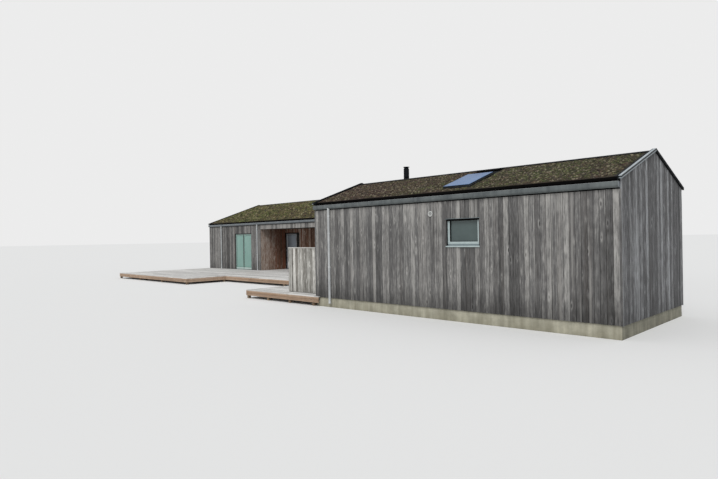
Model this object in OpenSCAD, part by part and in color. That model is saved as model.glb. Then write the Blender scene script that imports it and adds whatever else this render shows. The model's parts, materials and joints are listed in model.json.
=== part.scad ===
// Timber beach house: a front wing and a longer rear wing, side by side under low sedum roofs,
// joined by a short link and by a raised timber deck with a low screen.
// Millimetres, +Z up, ground at z = 0. X runs along the ridges, the front walls face -Y.

/* [Levels] */
// Height of the foundations above the ground
plinth_h = 280; // [200:10:500]
// Thickness of the floor boards inside
floor_t = 22; // [14:1:40]
// Height of the top edge of the roof deck at the eaves, above the ground
eave_h = 3130; // [3120:10:3600]
// Slope of the roofs in degrees
roof_pitch = 19; // [14:0.5:24]

/* [Front wing] */
// Length of the front wing along its ridge
front_l = 9000; // [8000:100:11000]
// Width of the front wing over its cladding
front_w = 4200; // [3800:50:5200]

/* [Rear wing] */
// Length of the rear wing along its ridge
rear_l = 21000; // [18000:100:24000]
// Width of the rear wing over its cladding
rear_w = 7800; // [7000:50:8600]
// Distance from the front wing's front wall to the rear wing's front wall
rear_y = 7300; // [6900:50:8200]

/* [Walls] */
// Thickness of the outer walls with their cladding
wall_t = 300; // [240:10:400]
// Thickness of the gables' boards, which run up in front of the roof decks' ends
clad_t = 25; // [20:1:40]
// Set-back of the foundations behind the cladding
plinth_inset = 30; // [0:5:60]

/* [Roofs] */
// Thickness of the roof deck, square to the slope
roof_t = 180; // [120:5:180]
// Thickness of the sedum mat, measured straight up
sedum_t = 55; // [30:5:90]
// Set-back of the roof deck's ends behind the long walls' faces
eave_in = 65; // [60:5:90]
// Reach of the verge caps past the gables
verge_out = 35; // [20:5:60]
// Reach of the verge caps' noses past the long walls
nose_out = 60; // [30:5:85]
// Thickness of the eave boards
eave_board_t = 25; // [18:1:32]
// Height of the eave boards above the edge of the roof deck
eave_board_up = 38; // [20:2:50]
// Width of the metal ridge cap on each slope
ridge_cap_w = 130; // [90:5:200]
// Width of the verge kerb on top of the roof
verge_w = 85; // [80:5:120]
// Height of the verge kerb above the roof deck
verge_up = 90; // [70:5:140]
// Height of the verge apron below the top of the roof deck
verge_down = 20; // [10:5:80]
// Thickness of folded sheet metal
sheet_t = 4; // [2:1:6]
// Clearance between a slope and what it rests on
seat = 0.3; // [0.2:0.1:0.6]

/* [Gutters and pipes] */
// Outer radius of the half-round gutters
gutter_r = 65; // [55:5:75]
// Straight part of the gutters above their half round
gutter_up = 60; // [40:5:70]
// Distance of the gutters' rims below the edge of the roof deck
gutter_down = 60; // [50:5:80]
// Clearance between the gutters and the walls' boards below them
gutter_gap = 20; // [10:5:40]
// Outer diameter of the downpipes
pipe_d = 75; // [60:5:100]
// Gap between a downpipe and the wall
pipe_gap = 10; // [8:1:12]
// Height of the open ends of the downpipes above the ground
pipe_foot = 120; // [50:10:250]
// Distance of the front wing's downpipes from its ends
front_pipe_in = 690; // [300:10:1200]
// Distance of the rear wing's downpipes from its ends
rear_pipe_in = 1510; // [500:10:2200]
// Distance of the porch's downpipe from the porch's left side
porch_pipe_in = 280; // [150:10:600]
// Height of the lower pipe straps above the foundations
strap_low = 420; // [200:20:900]
// Height of the upper pipe straps above the foundations
strap_high = 1920; // [1200:20:2100]
// Distance of the downpipes' upper sockets below the gutters
socket_drop = 50; // [20:5:120]
// Height of the straps and sockets of the downpipes
strap_h = 30; // [20:2:40]

/* [Window] */
// Width of the wall windows
window_w = 925; // [600:25:1400]
// Height of the wall windows with their sill
window_h = 680; // [500:20:1200]
// Height of the wall windows' heads above the foundations
window_head = 2205; // [2000:5:2300]
// Distance of the front window's left side from the front wing's right end
window_from_end = 4075; // [2500:25:6000]
// Distance of the rear wing's outer back windows from its ends
back_window_in = 3900; // [2500:50:6000]
// Depth of window and door frames behind the cladding's face
reveal = 40; // [20:5:80]

/* [Skylight] */
// Width of the skylight
skylight_w = 780; // [550:10:1140]
// Length of the skylight along the slope
skylight_l = 1200; // [780:10:1400]
// Distance of the skylight's left side from the front wing's right end
skylight_from_end = 4380; // [3000:20:6500]
// Distance of the skylight's lower edge from the wall face, measured level
skylight_up = 340; // [300:10:600]
// Width of the flashing round the skylight
flashing_w = 90; // [60:5:130]

/* [Doors] */
// Distance of the terrace door from the rear wing's left end
terrace_x = 3010; // [2000:10:3600]
// Width of the terrace door's opening
terrace_w = 1740; // [1500:10:2000]
// Height of the door openings above the foundations
door_h = 2190; // [2050:10:2300]
// Width of the door frames' members
jamb_w = 55; // [45:1:80]
// Depth of the door frames
jamb_t = 110; // [90:5:140]
// Thickness of the door leaves
leaf_t = 58; // [40:1:68]
// Width of the leaves' stiles
stile_w = 75; // [60:5:110]
// Width of the leaves' bottom rails
rail_w = 110; // [80:5:180]
// Running gap round a leaf
leaf_gap = 5; // [5:0.5:8]
// Height of the door sills
sill_h = 45; // [40:5:60]
// Height of the lever handles above a leaf's bottom edge
handle_up = 1020; // [900:10:1100]
// Reach of the lever handles from a leaf's face
handle_out = 50; // [42:1:56]

/* [Porch] */
// Distance of the porch's left side from the rear wing's left end
porch_x = 5700; // [5500:50:6200]
// Width of the porch
porch_w = 5000; // [3500:100:7000]
// Depth of the porch from the front wall's face
porch_d = 1800; // [1200:50:2400]
// Height of the porch's ceiling above the foundations
porch_h = 2400; // [2300:10:2420]
// Width of the porch door with its side light
porch_door_w = 1320; // [1200:20:1600]
// Width of the porch door's leaf
porch_leaf_w = 960; // [800:20:1000]

/* [Link] */
// Width of the link over its cladding
link_w = 2000; // [1600:50:2000]
// Height of the link's ceiling above the foundations
link_h = 2400; // [2250:10:2430]
// Thickness of the link's flat roof
link_roof_t = 180; // [150:5:190]
// Height of the raised edge on the link's roof
link_edge_h = 50; // [30:5:60]

/* [Deck] */
// Height of the deck's surface above the foundations
deck_up = 20; // [10:5:20]
// Thickness of the deck boards
deck_t = 28; // [21:1:40]
// Width of the deck's joists
joist_w = 45; // [38:1:60]
// Height of the deck's joists
joist_h = 145; // [95:5:150]
// Distance between the joists
joist_step = 600; // [500:50:900]
// Width of the posts under the deck
post_w = 95; // [70:5:120]
// Height of the deck's edge boards
fascia_h = 170; // [120:5:200]
// Depth of the deck in front of the rear wing
deck_rear_d = 3700; // [3000:50:3900]
// Width of the left part of the deck
deck_left_w = 7900; // [6500:100:9500]
// Distance from the front wing's front wall to the left part's front edge
deck_left_y = 1500; // [600:50:2500]
// Width of the front part of the deck
deck_front_w = 3700; // [3000:50:5000]
// Reach of the front part of the deck past the front wall
deck_front_out = 80; // [60:5:85]
// Length of the deck's nose in front of the front wing's corner
deck_nose_l = 200; // [100:10:400]

/* [Screen] */
// Length of the screen
screen_l = 1860; // [1200:20:2400]
// Height of the screen above the foundations
screen_h = 1510; // [1200:10:1800]
// Distance of the screen from the front wall's face
screen_y = 400; // [200:10:1200]

/* [Flue] */
// Diameter of the flue
flue_d = 250; // [200:10:300]
// Distance of the flue from the rear wing's left end
flue_x = 13750; // [8000:50:16000]
// Distance of the flue from the ridge
flue_from_ridge = 350; // [300:10:900]
// Width of the square flashing plate round the flue
flue_plate_w = 540; // [460:10:600]
// Height of the flashing cone round the flue
flue_cone_h = 260; // [180:10:320]
// Height of the flue's top above the roof deck at the ridge
flue_over_ridge = 1290; // [900:5:2000]

/* [Vent] */
// Diameter of the round wall vent
vent_d = 140; // [100:5:200]
// Distance of the vent from the front wing's right end
vent_from_end = 4550; // [4300:50:7000]
// Height of the vent above the foundations
vent_up = 2360; // [2000:10:2450]

/* [Hidden] */
$fn = 48;

// The link stands flush with the rear wing's right end and with the front wing's left end.
link_x1 = rear_l;
link_x = rear_l - link_w;
front_x = link_x;
passage_x = link_x + wall_t;
passage_x1 = link_x1 - wall_t;

// A wing is [left end, front face, length, width].
front_wing = [front_x, 0, front_l, front_w];
rear_wing = [0, rear_y, rear_l, rear_w];

right_end = front_x + front_l;
flue_in = rear_w / 2 - flue_from_ridge;
porch_x1 = porch_x + porch_w;

slope = tan(roof_pitch);
deck_drop = roof_t / cos(roof_pitch);
// The eave boards stand in front of the roof deck's ends, and the gutters hang on them.
board_in = eave_in - eave_board_t;
gutter_y = gutter_r - board_in;
gutter_top = eave_h - gutter_down;
gutter_low = gutter_top - gutter_up - gutter_r;
board_top = gutter_low - gutter_gap;
floor_z = plinth_h + floor_t;
deck_z = plinth_h + deck_up;
joist_top = deck_z - deck_t;
joist_bottom = joist_top - joist_h;

// The origin is at the ground, under the middle of the whole house.
mid_x = right_end / 2;
mid_y = (rear_y + rear_w) / 2;

// Half the gap between the two mats of a wing, under its ridge cap.
ridge_slot = 20;

module site() translate([-mid_x, -mid_y, 0]) children();

function reversed(list) = [for (i = [len(list) - 1 : -1 : 0]) list[i]];

// Roof deck's top and underside, at a distance in from a long wall's face.
function roof_z(in) = eave_h + slope * (in - eave_in);
function under_z(in) = roof_z(in) - deck_drop;
function seat_z(in) = under_z(in) - seat;
// A point's place across a wing: side 0 counts from the front face, side 1 from the back.
function across(wing, side, in) = wing[1] + (side == 0 ? in : wing[3] - in);

// A profile in Y and Z, drawn out along X.
module along_x(x0, x1, points)
    translate([x0, 0, 0]) rotate([90, 0, 90]) linear_extrude(x1 - x0) polygon(points);

// A band that follows one slope, between two distances in and two heights over the roof deck.
module slope_band(wing, side, x0, x1, in0, in1, up0, up1)
    along_x(x0, x1, [for (p = [[in0, up0], [in1, up0], [in1, up1], [in0, up1]])
        [across(wing, side, p[0]), roof_z(p[0]) + p[1]]]);

// A wall's top at its outer face: level under the gutter, then up to its seat under the roof.
wall_edge = [[0, board_top], [board_in, board_top], [board_in, seat_z(board_in)]];

// A stretch of wall along X, up to its seat under the roof.
module wall_strip(wing, side, x0, x1, in0, in1, z0)
    along_x(x0, x1, [for (p = concat([[in0, z0], [in1, z0], [in1, seat_z(in1)]],
        in0 == 0 ? reversed(wall_edge) : [[in0, seat_z(in0)]])) [across(wing, side, p[0]), p[1]]]);

// A gable's outline over both slopes, from the edges of its two halves, each counted from outside.
function gable_outline(wing, edge) = concat(
    [for (p = reversed(edge)) [wing[1] + p[0], p[1]]],
    [[wing[1], plinth_h], [wing[1] + wing[3], plinth_h]],
    [for (i = [0 : len(edge) - 2]) [wing[1] + wing[3] - edge[i][0], edge[i][1]]]);

module gable(wing, right) {
    x0 = right ? wing[0] + wing[2] - wall_t : wing[0];
    board_x = right ? wing[0] + wing[2] - clad_t : wing[0];
    mid = wing[3] / 2;
    along_x(x0, x0 + wall_t, gable_outline(wing, concat(wall_edge, [[mid, seat_z(mid)]])));
    // The boards run on up to the verge cap.
    along_x(board_x, board_x + clad_t, gable_outline(wing, [[0, board_top], [board_in, board_top],
        [board_in, roof_z(board_in) - seat], [mid, roof_z(mid) - seat]]));
}

module box(x0, x1, y0, y1, z0, z1) translate([x0, y0, z0]) cube([x1 - x0, y1 - y0, z1 - z0]);

// Children stand on a slope, with Z square to it, at a distance in from the wall's face.
module on_slope(wing, side, in)
    translate([0, across(wing, side, in), roof_z(in)])
        rotate([side == 0 ? roof_pitch : -roof_pitch, 0, 0]) children();

// Windows: [centre in X, outer face in Y, direction of the outside].
window_sill_z = plinth_h + window_head - window_h;
window_head_z = plinth_h + window_head;
windows = [
    [right_end - window_from_end + window_w / 2, 0, -1],
    [right_end - window_from_end + window_w / 2, front_w, 1],
    [back_window_in, rear_y + rear_w, 1],
    [rear_l / 2, rear_y + rear_w, 1],
    [rear_l - back_window_in, rear_y + rear_w, 1]
];

module at_window(w) translate([w[0], w[1], 0]) rotate([0, 0, w[2] < 0 ? 0 : 180]) children();

module window_hole(w)
    at_window(w) box(-window_w / 2, window_w / 2, -1, wall_t + 1, window_sill_z, window_head_z);

// A flat ring in X and Z with its own width on each side.
module ring(x0, x1, z0, z1, side, bottom, top, y0, y1)
    difference() {
        box(x0, x1, y0, y1, z0, z1);
        box(x0 + side, x1 - side, y0 - 1, y1 + 1, z0 + bottom, z1 - top);
    }

// Foundations and floor

module front_foundation() color([0.66, 0.65, 0.62]) site()
    box(front_x + plinth_inset, right_end - plinth_inset, plinth_inset, front_w - plinth_inset,
        0, plinth_h);

module rear_foundation() color([0.66, 0.65, 0.62]) site() difference() {
    box(plinth_inset, rear_l - plinth_inset, rear_y + plinth_inset,
        rear_y + rear_w - plinth_inset, 0, plinth_h);
    box(porch_x, porch_x1, rear_y, rear_y + porch_d, joist_bottom, plinth_h + 1);
}

module link_foundation() color([0.66, 0.65, 0.62]) site()
    box(link_x + plinth_inset, link_x1 - plinth_inset, front_w - plinth_inset, rear_y + plinth_inset,
        0, plinth_h);

module floor_boards() color([0.72, 0.6, 0.45]) site() {
    box(front_x + wall_t, right_end - wall_t, wall_t, front_w - wall_t, plinth_h, floor_z);
    box(passage_x, passage_x1, front_w - wall_t, rear_y + wall_t, plinth_h, floor_z);
    difference() {
        box(wall_t, rear_l - wall_t, rear_y + wall_t, rear_y + rear_w - wall_t, plinth_h, floor_z);
        box(porch_x - wall_t, porch_x1 + wall_t, rear_y, rear_y + porch_d + wall_t,
            plinth_h - 1, floor_z + 1);
    }
}

// Walls

module front_wall() color([0.5, 0.49, 0.47]) site() difference() {
    wall_strip(front_wing, 0, front_x + wall_t, right_end - wall_t, 0, wall_t, plinth_h);
    window_hole(windows[0]);
}

module front_back_wall() color([0.5, 0.49, 0.47]) site() difference() {
    wall_strip(front_wing, 1, passage_x1, right_end - wall_t, 0, wall_t, plinth_h);
    window_hole(windows[1]);
}

module front_gables() color([0.5, 0.49, 0.48]) site() {
    gable(front_wing, false);
    gable(front_wing, true);
}

module rear_front_wall() color([0.45, 0.43, 0.41]) site() {
    wall_strip(rear_wing, 0, wall_t, terrace_x, 0, wall_t, plinth_h);
    wall_strip(rear_wing, 0, terrace_x + terrace_w, porch_x, 0, wall_t, plinth_h);
    wall_strip(rear_wing, 0, porch_x1, passage_x, 0, wall_t, plinth_h);
}

module wall_headers() color([0.45, 0.43, 0.41]) site() {
    wall_strip(rear_wing, 0, terrace_x, terrace_x + terrace_w, 0, wall_t, plinth_h + door_h);
    wall_strip(rear_wing, 0, porch_x, porch_x1, 0, wall_t, plinth_h + porch_h);
    wall_strip(rear_wing, 0, passage_x, passage_x1, 0, wall_t, plinth_h + link_h);
    wall_strip(front_wing, 1, passage_x, passage_x1, 0, wall_t, plinth_h + link_h);
}

module rear_gables() color([0.45, 0.43, 0.41]) site() {
    gable(rear_wing, false);
    gable(rear_wing, true);
}

module rear_back_wall() color([0.45, 0.43, 0.41]) site() difference() {
    wall_strip(rear_wing, 1, wall_t, rear_l - wall_t, 0, wall_t, plinth_h);
    for (w = [windows[2], windows[3], windows[4]]) window_hole(w);
}

// Porch

module porch_side_walls() color([0.38, 0.3, 0.25]) site() {
    wall_strip(rear_wing, 0, porch_x - wall_t, porch_x, wall_t, porch_d + wall_t, plinth_h);
    wall_strip(rear_wing, 0, porch_x1, porch_x1 + wall_t, wall_t, porch_d + wall_t, plinth_h);
}

module porch_back_wall() color([0.38, 0.3, 0.25]) site()
    wall_strip(rear_wing, 0, porch_x + porch_door_w, porch_x1, porch_d, porch_d + wall_t, plinth_h);

module porch_door_header() color([0.38, 0.3, 0.25]) site()
    wall_strip(rear_wing, 0, porch_x, porch_x + porch_door_w, porch_d, porch_d + wall_t,
        plinth_h + door_h);

module porch_ceiling() color([0.2, 0.18, 0.16]) site()
    box(porch_x, porch_x1, rear_y + wall_t, rear_y + porch_d, plinth_h + porch_h,
        plinth_h + porch_h + floor_t);

// Link

module link_walls() color([0.45, 0.43, 0.41]) site() {
    box(link_x, passage_x, front_w, rear_y, plinth_h, plinth_h + link_h);
    box(passage_x1, link_x1, front_w, rear_y, plinth_h, plinth_h + link_h);
}

// A flat roof with a raised edge on its two free sides, between the eaves of the wings.
module link_roof() color([0.25, 0.26, 0.27]) site() {
    z0 = plinth_h + link_h;
    box(link_x, link_x1, front_w, rear_y, z0, z0 + link_roof_t);
    for (x = [link_x, link_x1 - verge_w])
        box(x, x + verge_w, front_w, rear_y, z0, z0 + link_roof_t + link_edge_h);
}

// Roofs

module roof_deck(wing, side)
    slope_band(wing, side, wing[0] + clad_t, wing[0] + wing[2] - clad_t, eave_in, wing[3] / 2,
        -deck_drop, 0);

skylight_x = right_end - skylight_from_end;
// From the skylight's lower edge up the slope to just under the ridge.
skylight_to_ridge = (front_w / 2 - skylight_up) / cos(roof_pitch) - ridge_slot;

module skylight_hole(margin)
    on_slope(front_wing, 0, skylight_up)
        translate([skylight_x - margin, -margin, -2 * roof_t])
            cube([skylight_w + 2 * margin, skylight_l + 2 * margin, 4 * roof_t]);

module flue_hole(margin)
    translate([flue_x, rear_y + flue_in, eave_h - roof_t])
        cylinder(d = flue_d + 2 * margin, h = rear_w);

// The strip from below the skylight to the ridge that holds flashing in place of sedum.
module flashing_strip(low, high, reach)
    on_slope(front_wing, 0, skylight_up)
        translate([skylight_x - flashing_w, -flashing_w, low])
            cube([skylight_w + 2 * flashing_w, reach + flashing_w, high - low]);

// The square round the flue that holds flashing in place of sedum.
module flue_plate(low, high)
    on_slope(rear_wing, 0, flue_in) translate([flue_x - flue_plate_w / 2, -flue_plate_w / 2, low])
        cube([flue_plate_w, flue_plate_w, high - low]);

module front_roof_south() color([0.3, 0.29, 0.27]) site() difference() {
    roof_deck(front_wing, 0);
    skylight_hole(0);
}

module front_roof_north() color([0.3, 0.29, 0.27]) site() roof_deck(front_wing, 1);

module rear_roof_south() color([0.3, 0.29, 0.27]) site() difference() {
    roof_deck(rear_wing, 0);
    flue_hole(0);
}

module rear_roof_north() color([0.3, 0.29, 0.27]) site() roof_deck(rear_wing, 1);

// The mat stops short of the ridge, under the cap, and at the verge kerbs.
module sedum_mat(wing, side)
    slope_band(wing, side, wing[0] - verge_out + verge_w, wing[0] + wing[2] + verge_out - verge_w,
        eave_in, wing[3] / 2 - ridge_slot, seat, sedum_t);

module front_sedum() color([0.42, 0.38, 0.24]) site() {
    difference() {
        sedum_mat(front_wing, 0);
        flashing_strip(-1, 4 * sedum_t, 2 * front_w);
    }
    sedum_mat(front_wing, 1);
}

module rear_sedum() color([0.43, 0.43, 0.22]) site() {
    difference() {
        sedum_mat(rear_wing, 0);
        flue_plate(-1, 4 * sedum_t);
    }
    sedum_mat(rear_wing, 1);
}

// A folded sheet on the mats' upper edges.
module ridge_cap(wing) {
    mid = wing[3] / 2;
    low = sedum_t + seat;
    high = low + sheet_t / cos(roof_pitch);
    along_x(wing[0] - verge_out + verge_w, wing[0] + wing[2] + verge_out - verge_w, [
        [wing[1] + mid - ridge_cap_w, roof_z(mid - ridge_cap_w) + low],
        [wing[1] + mid, roof_z(mid) + low],
        [wing[1] + mid + ridge_cap_w, roof_z(mid - ridge_cap_w) + low],
        [wing[1] + mid + ridge_cap_w, roof_z(mid - ridge_cap_w) + high],
        [wing[1] + mid, roof_z(mid) + high],
        [wing[1] + mid - ridge_cap_w, roof_z(mid - ridge_cap_w) + high]]);
}

module ridge_caps() color([0.27, 0.28, 0.29]) site() {
    ridge_cap(front_wing);
    ridge_cap(rear_wing);
}

// A band over both slopes of a wing, as one piece that turns over the ridge.
module over_ridge(wing, x0, x1, up0, up1) {
    mid = wing[3] / 2;
    low = roof_z(-nose_out);
    along_x(x0, x1, [
        [wing[1] - nose_out, low + up0], [wing[1] + mid, roof_z(mid) + up0],
        [wing[1] + wing[3] + nose_out, low + up0], [wing[1] + wing[3] + nose_out, low + up1],
        [wing[1] + mid, roof_z(mid) + up1], [wing[1] - nose_out, low + up1]]);
}

// The kerb stands on the roof deck's edge, and its apron hangs down in front of the edge.
module verge_cap(wing, right) {
    edge = right ? wing[0] + wing[2] + verge_out : wing[0] - verge_out;
    in = right ? -verge_w : verge_w;
    out = right ? sheet_t : -sheet_t;
    over_ridge(wing, min(edge, edge + in), max(edge, edge + in), seat, verge_up);
    over_ridge(wing, min(edge, edge + out), max(edge, edge + out), -verge_down, verge_up);
}

module verge_caps() color([0.62, 0.66, 0.68]) site() for (wing = [front_wing, rear_wing])
    for (right = [false, true]) verge_cap(wing, right);

// A board in front of the roof deck's end, up to the mat's top between the verge kerbs.
module eave_board(wing, y0) {
    low = roof_z(board_in) - seat;
    box(wing[0] + clad_t, wing[0] + wing[2] - clad_t, y0, y0 + eave_board_t,
        under_z(eave_in), low);
    box(wing[0] - verge_out + verge_w, wing[0] + wing[2] + verge_out - verge_w,
        y0, y0 + eave_board_t, low, eave_h + eave_board_up);
}

module eave_boards() color([0.13, 0.13, 0.13]) site() for (wing = [front_wing, rear_wing])
    for (y0 = [wing[1] + board_in, wing[1] + wing[3] - eave_in]) eave_board(wing, y0);

// Gutters and pipes

module gutter_profile(r, up) {
    intersection() {
        circle(r);
        translate([-r, -r]) square([2 * r, r]);
    }
    translate([-r, 0]) square([2 * r, up]);
}

// A gutter ends just inside the aprons of the verge caps.
module gutter(wing, side) {
    x0 = wing[0] - verge_out + sheet_t + seat;
    x1 = wing[0] + wing[2] + verge_out - sheet_t - seat;
    translate([0, across(wing, side, -gutter_y), gutter_top - gutter_up])
        difference() {
            translate([x0, 0, 0]) rotate([90, 0, 90]) linear_extrude(x1 - x0)
                gutter_profile(gutter_r, gutter_up);
            translate([x0 + sheet_t, 0, 0]) rotate([90, 0, 90]) linear_extrude(x1 - x0 - 2 * sheet_t)
                gutter_profile(gutter_r - sheet_t, gutter_up + 1);
        }
}

module gutters() color([0.38, 0.41, 0.43]) site() for (wing = [front_wing, rear_wing])
    for (side = [0, 1]) gutter(wing, side);

// Downpipes: [wing, side, place in X, height of the open end].
downpipe_places = [
    [front_wing, 0, front_x + front_pipe_in, pipe_foot],
    [front_wing, 1, right_end - front_pipe_in, pipe_foot],
    [rear_wing, 0, rear_pipe_in, deck_z], [rear_wing, 0, porch_x - porch_pipe_in, deck_z],
    [rear_wing, 1, rear_pipe_in, pipe_foot], [rear_wing, 1, rear_l - rear_pipe_in, pipe_foot]
];

// A collar about the pipe.
module pipe_collar(z)
    translate([0, 0, z]) cylinder(d = pipe_d + 2 * sheet_t, h = strap_h);

// A pipe down the wall, with its end cut to the gutter's underside, on two straps.
module downpipe(foot) {
    wall_y = pipe_gap + pipe_d / 2;
    difference() {
        translate([0, -wall_y, foot]) cylinder(d = pipe_d, h = gutter_top - gutter_up - foot);
        translate([-pipe_d, -gutter_y, gutter_top - gutter_up]) rotate([90, 0, 90])
            cylinder(r = gutter_r + seat, h = 2 * pipe_d);
    }
    translate([0, -wall_y, 0]) pipe_collar(gutter_low - socket_drop - strap_h);
    for (z = [plinth_h + strap_low, plinth_h + strap_high]) {
        translate([0, -wall_y, 0]) pipe_collar(z);
        box(-strap_h / 3, strap_h / 3, -pipe_gap, 0, z, z + strap_h);
    }
}

module downpipes() color([0.62, 0.65, 0.66]) site() for (p = downpipe_places)
    translate([p[2], across(p[0], p[1], 0), 0]) mirror([0, p[1], 0]) downpipe(p[3]);

// Windows

window_frame_w = 30;
window_frame_low = 90;
window_frame_t = 120;
window_sill_t = 35;
window_lip = 25;
window_drip_t = 12;
sash_w = 40;
sash_t = 60;
sash_gap = 1;

module window_frames() color([0.7, 0.74, 0.73]) site() for (w = windows) at_window(w)
    ring(-window_w / 2, window_w / 2, window_sill_z, window_head_z, window_frame_w,
        window_frame_low, window_frame_w, reveal, reveal + window_frame_t);

module window_sashes() color([0.74, 0.78, 0.77]) site() for (w = windows) at_window(w)
    ring(-window_w / 2 + window_frame_w, window_w / 2 - window_frame_w,
        window_sill_z + window_frame_low, window_head_z - window_frame_w, sash_w, sash_w, sash_w,
        reveal, reveal + sash_t);

module window_glass() color([0.35, 0.4, 0.41, 0.6]) site() for (w = windows) at_window(w)
    box(-window_w / 2 + window_frame_w + sash_w, window_w / 2 - window_frame_w - sash_w,
        reveal + 18, reveal + 42, window_sill_z + window_frame_low + sash_w,
        window_head_z - window_frame_w - sash_w);

// A sill before the frame, with horns past the opening, and a drip strip over the head.
module window_sills() color([0.74, 0.78, 0.77]) site() for (w = windows) at_window(w) {
    box(-window_w / 2, window_w / 2, -window_lip, reveal, window_sill_z,
        window_sill_z + window_sill_t);
    box(-window_w / 2 - window_lip, window_w / 2 + window_lip, -window_lip, 0,
        window_sill_z, window_sill_z + window_sill_t);
    box(-window_w / 2 - window_lip, window_w / 2 + window_lip, -window_lip, 0,
        window_head_z, window_head_z + window_drip_t);
}

// Skylight

skylight_frame_w = 40;
skylight_up_h = 98;
skylight_glass_in = 8;
skylight_glass_t = 12;

module skylight_flashing() color([0.2, 0.21, 0.22]) site() difference() {
    flashing_strip(seat, seat + sheet_t, skylight_to_ridge);
    skylight_hole(0);
}

module skylight_frame() color([0.2, 0.21, 0.22]) site() on_slope(front_wing, 0, skylight_up)
    translate([skylight_x, 0, -roof_t]) difference() {
        cube([skylight_w, skylight_l, roof_t + skylight_up_h]);
        translate([skylight_frame_w, skylight_frame_w, -1])
            cube([skylight_w - 2 * skylight_frame_w, skylight_l - 2 * skylight_frame_w,
                roof_t + skylight_up_h + 2]);
    }

// The pane lies on the frame and covers it nearly to its edge.
module skylight_glass() color([0.45, 0.55, 0.62, 0.6]) site() on_slope(front_wing, 0, skylight_up)
    translate([skylight_x + skylight_glass_in, skylight_glass_in, skylight_up_h + seat])
        cube([skylight_w - 2 * skylight_glass_in, skylight_l - 2 * skylight_glass_in,
            skylight_glass_t]);

// Doors

frame_y = rear_y + reveal;
porch_frame_y = rear_y + porch_d + reveal;
leaf_bottom = plinth_h + sill_h + leaf_gap;
leaf_top = plinth_h + door_h - jamb_w - leaf_gap;
stop_w = 15;
knuckle_r = 8;
pin_r = 4;
pin_gap = 0.3;
knuckle_h = 50;
plate_t = 3.5;
plate_w = 30;
hinge_out = 10;
hinge_heights = [leaf_bottom + 200, (leaf_bottom + leaf_top) / 2, leaf_top - 300];

// A door frame with its sill, and a stop behind the leaves.
module door_frame(x0, x1, y0) {
    z1 = plinth_h + door_h;
    ring(x0, x1, plinth_h, z1, jamb_w, sill_h, jamb_w, y0, y0 + jamb_t);
    ring(x0, x1, plinth_h, z1, jamb_w + stop_w, sill_h + stop_w, jamb_w + stop_w,
        y0 + leaf_t + leaf_gap, y0 + jamb_t);
}

// The frame's half of a hinge, with its pin. dir is 1 where the leaf lies to the right.
module frame_hinge(x, y, dir) for (z = hinge_heights) translate([x, y, z]) {
    cylinder(r = knuckle_r, h = knuckle_h);
    cylinder(r = pin_r, h = 2 * knuckle_h - 5);
    box(dir > 0 ? -plate_w : 0, dir > 0 ? 0 : plate_w, hinge_out - plate_t, hinge_out, 0, knuckle_h);
}

// The leaf's half of a hinge: a barrel on the pin, and its plate.
module leaf_hinge(x, y, dir) for (z = hinge_heights)
    translate([x, y, z + knuckle_h + pin_gap]) difference() {
        union() {
            cylinder(r = knuckle_r, h = knuckle_h);
            box(dir > 0 ? 0 : -plate_w, dir > 0 ? plate_w : 0, hinge_out - plate_t, hinge_out,
                0, knuckle_h);
        }
        translate([0, 0, -1]) cylinder(r = pin_r + pin_gap, h = knuckle_h - 4);
    }

module leaf(x0, x1, y0)
    ring(x0, x1, leaf_bottom, leaf_top, stile_w, rail_w, stile_w, y0, y0 + leaf_t);

module leaf_pane(x0, x1, y0)
    box(x0 + stile_w, x1 - stile_w, y0 + leaf_t / 2 - 12, y0 + leaf_t / 2 + 12,
        leaf_bottom + rail_w, leaf_top - stile_w);

// A lever handle with its plate, on the outer and the inner face. dir is the way the lever points.
module lever_handle(x, y0, dir) for (outer = [true, false]) {
    face = outer ? y0 : y0 + leaf_t;
    out = outer ? -1 : 1;
    translate([x, face, leaf_bottom + handle_up]) {
        box(-15, 15, min(0, out * 6), max(0, out * 6), -110, 70);
        rotate([-out * 90, 0, 0]) cylinder(d = 20, h = handle_out);
        translate([0, out * (handle_out - 9), 0]) rotate([0, dir * 90, 0]) cylinder(d = 18, h = 120);
    }
}

leaf_left_x0 = terrace_x + jamb_w + leaf_gap;
leaf_left_x1 = terrace_x + (terrace_w - leaf_gap) / 2;
leaf_right_x0 = leaf_left_x1 + leaf_gap;
leaf_right_x1 = terrace_x + terrace_w - jamb_w - leaf_gap;
hinge_left_x = leaf_left_x0 - leaf_gap / 2;
hinge_right_x = leaf_right_x1 + leaf_gap / 2;
porch_leaf_x0 = porch_x + jamb_w + leaf_gap;
porch_leaf_x1 = porch_leaf_x0 + porch_leaf_w;
porch_hinge_x = porch_leaf_x0 - leaf_gap / 2;

module terrace_door_frame() color([0.62, 0.68, 0.66]) site() {
    door_frame(terrace_x, terrace_x + terrace_w, frame_y);
    frame_hinge(hinge_left_x, frame_y - hinge_out, 1);
    frame_hinge(hinge_right_x, frame_y - hinge_out, -1);
}

module terrace_leaf_left() color([0.68, 0.74, 0.72]) site() {
    leaf(leaf_left_x0, leaf_left_x1, frame_y);
    leaf_hinge(hinge_left_x, frame_y - hinge_out, 1);
}

module terrace_leaf_right() color([0.68, 0.74, 0.72]) site() {
    leaf(leaf_right_x0, leaf_right_x1, frame_y);
    leaf_hinge(hinge_right_x, frame_y - hinge_out, -1);
    lever_handle(leaf_right_x0 + stile_w / 2, frame_y, 1);
}

module terrace_glass_left() color([0.55, 0.68, 0.64, 0.7]) site()
    leaf_pane(leaf_left_x0, leaf_left_x1, frame_y);

module terrace_glass_right() color([0.55, 0.68, 0.64, 0.7]) site()
    leaf_pane(leaf_right_x0, leaf_right_x1, frame_y);

// The porch door's frame has a mullion between the leaf and the side light.
porch_mullion_x = porch_leaf_x1 + leaf_gap;

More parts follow.
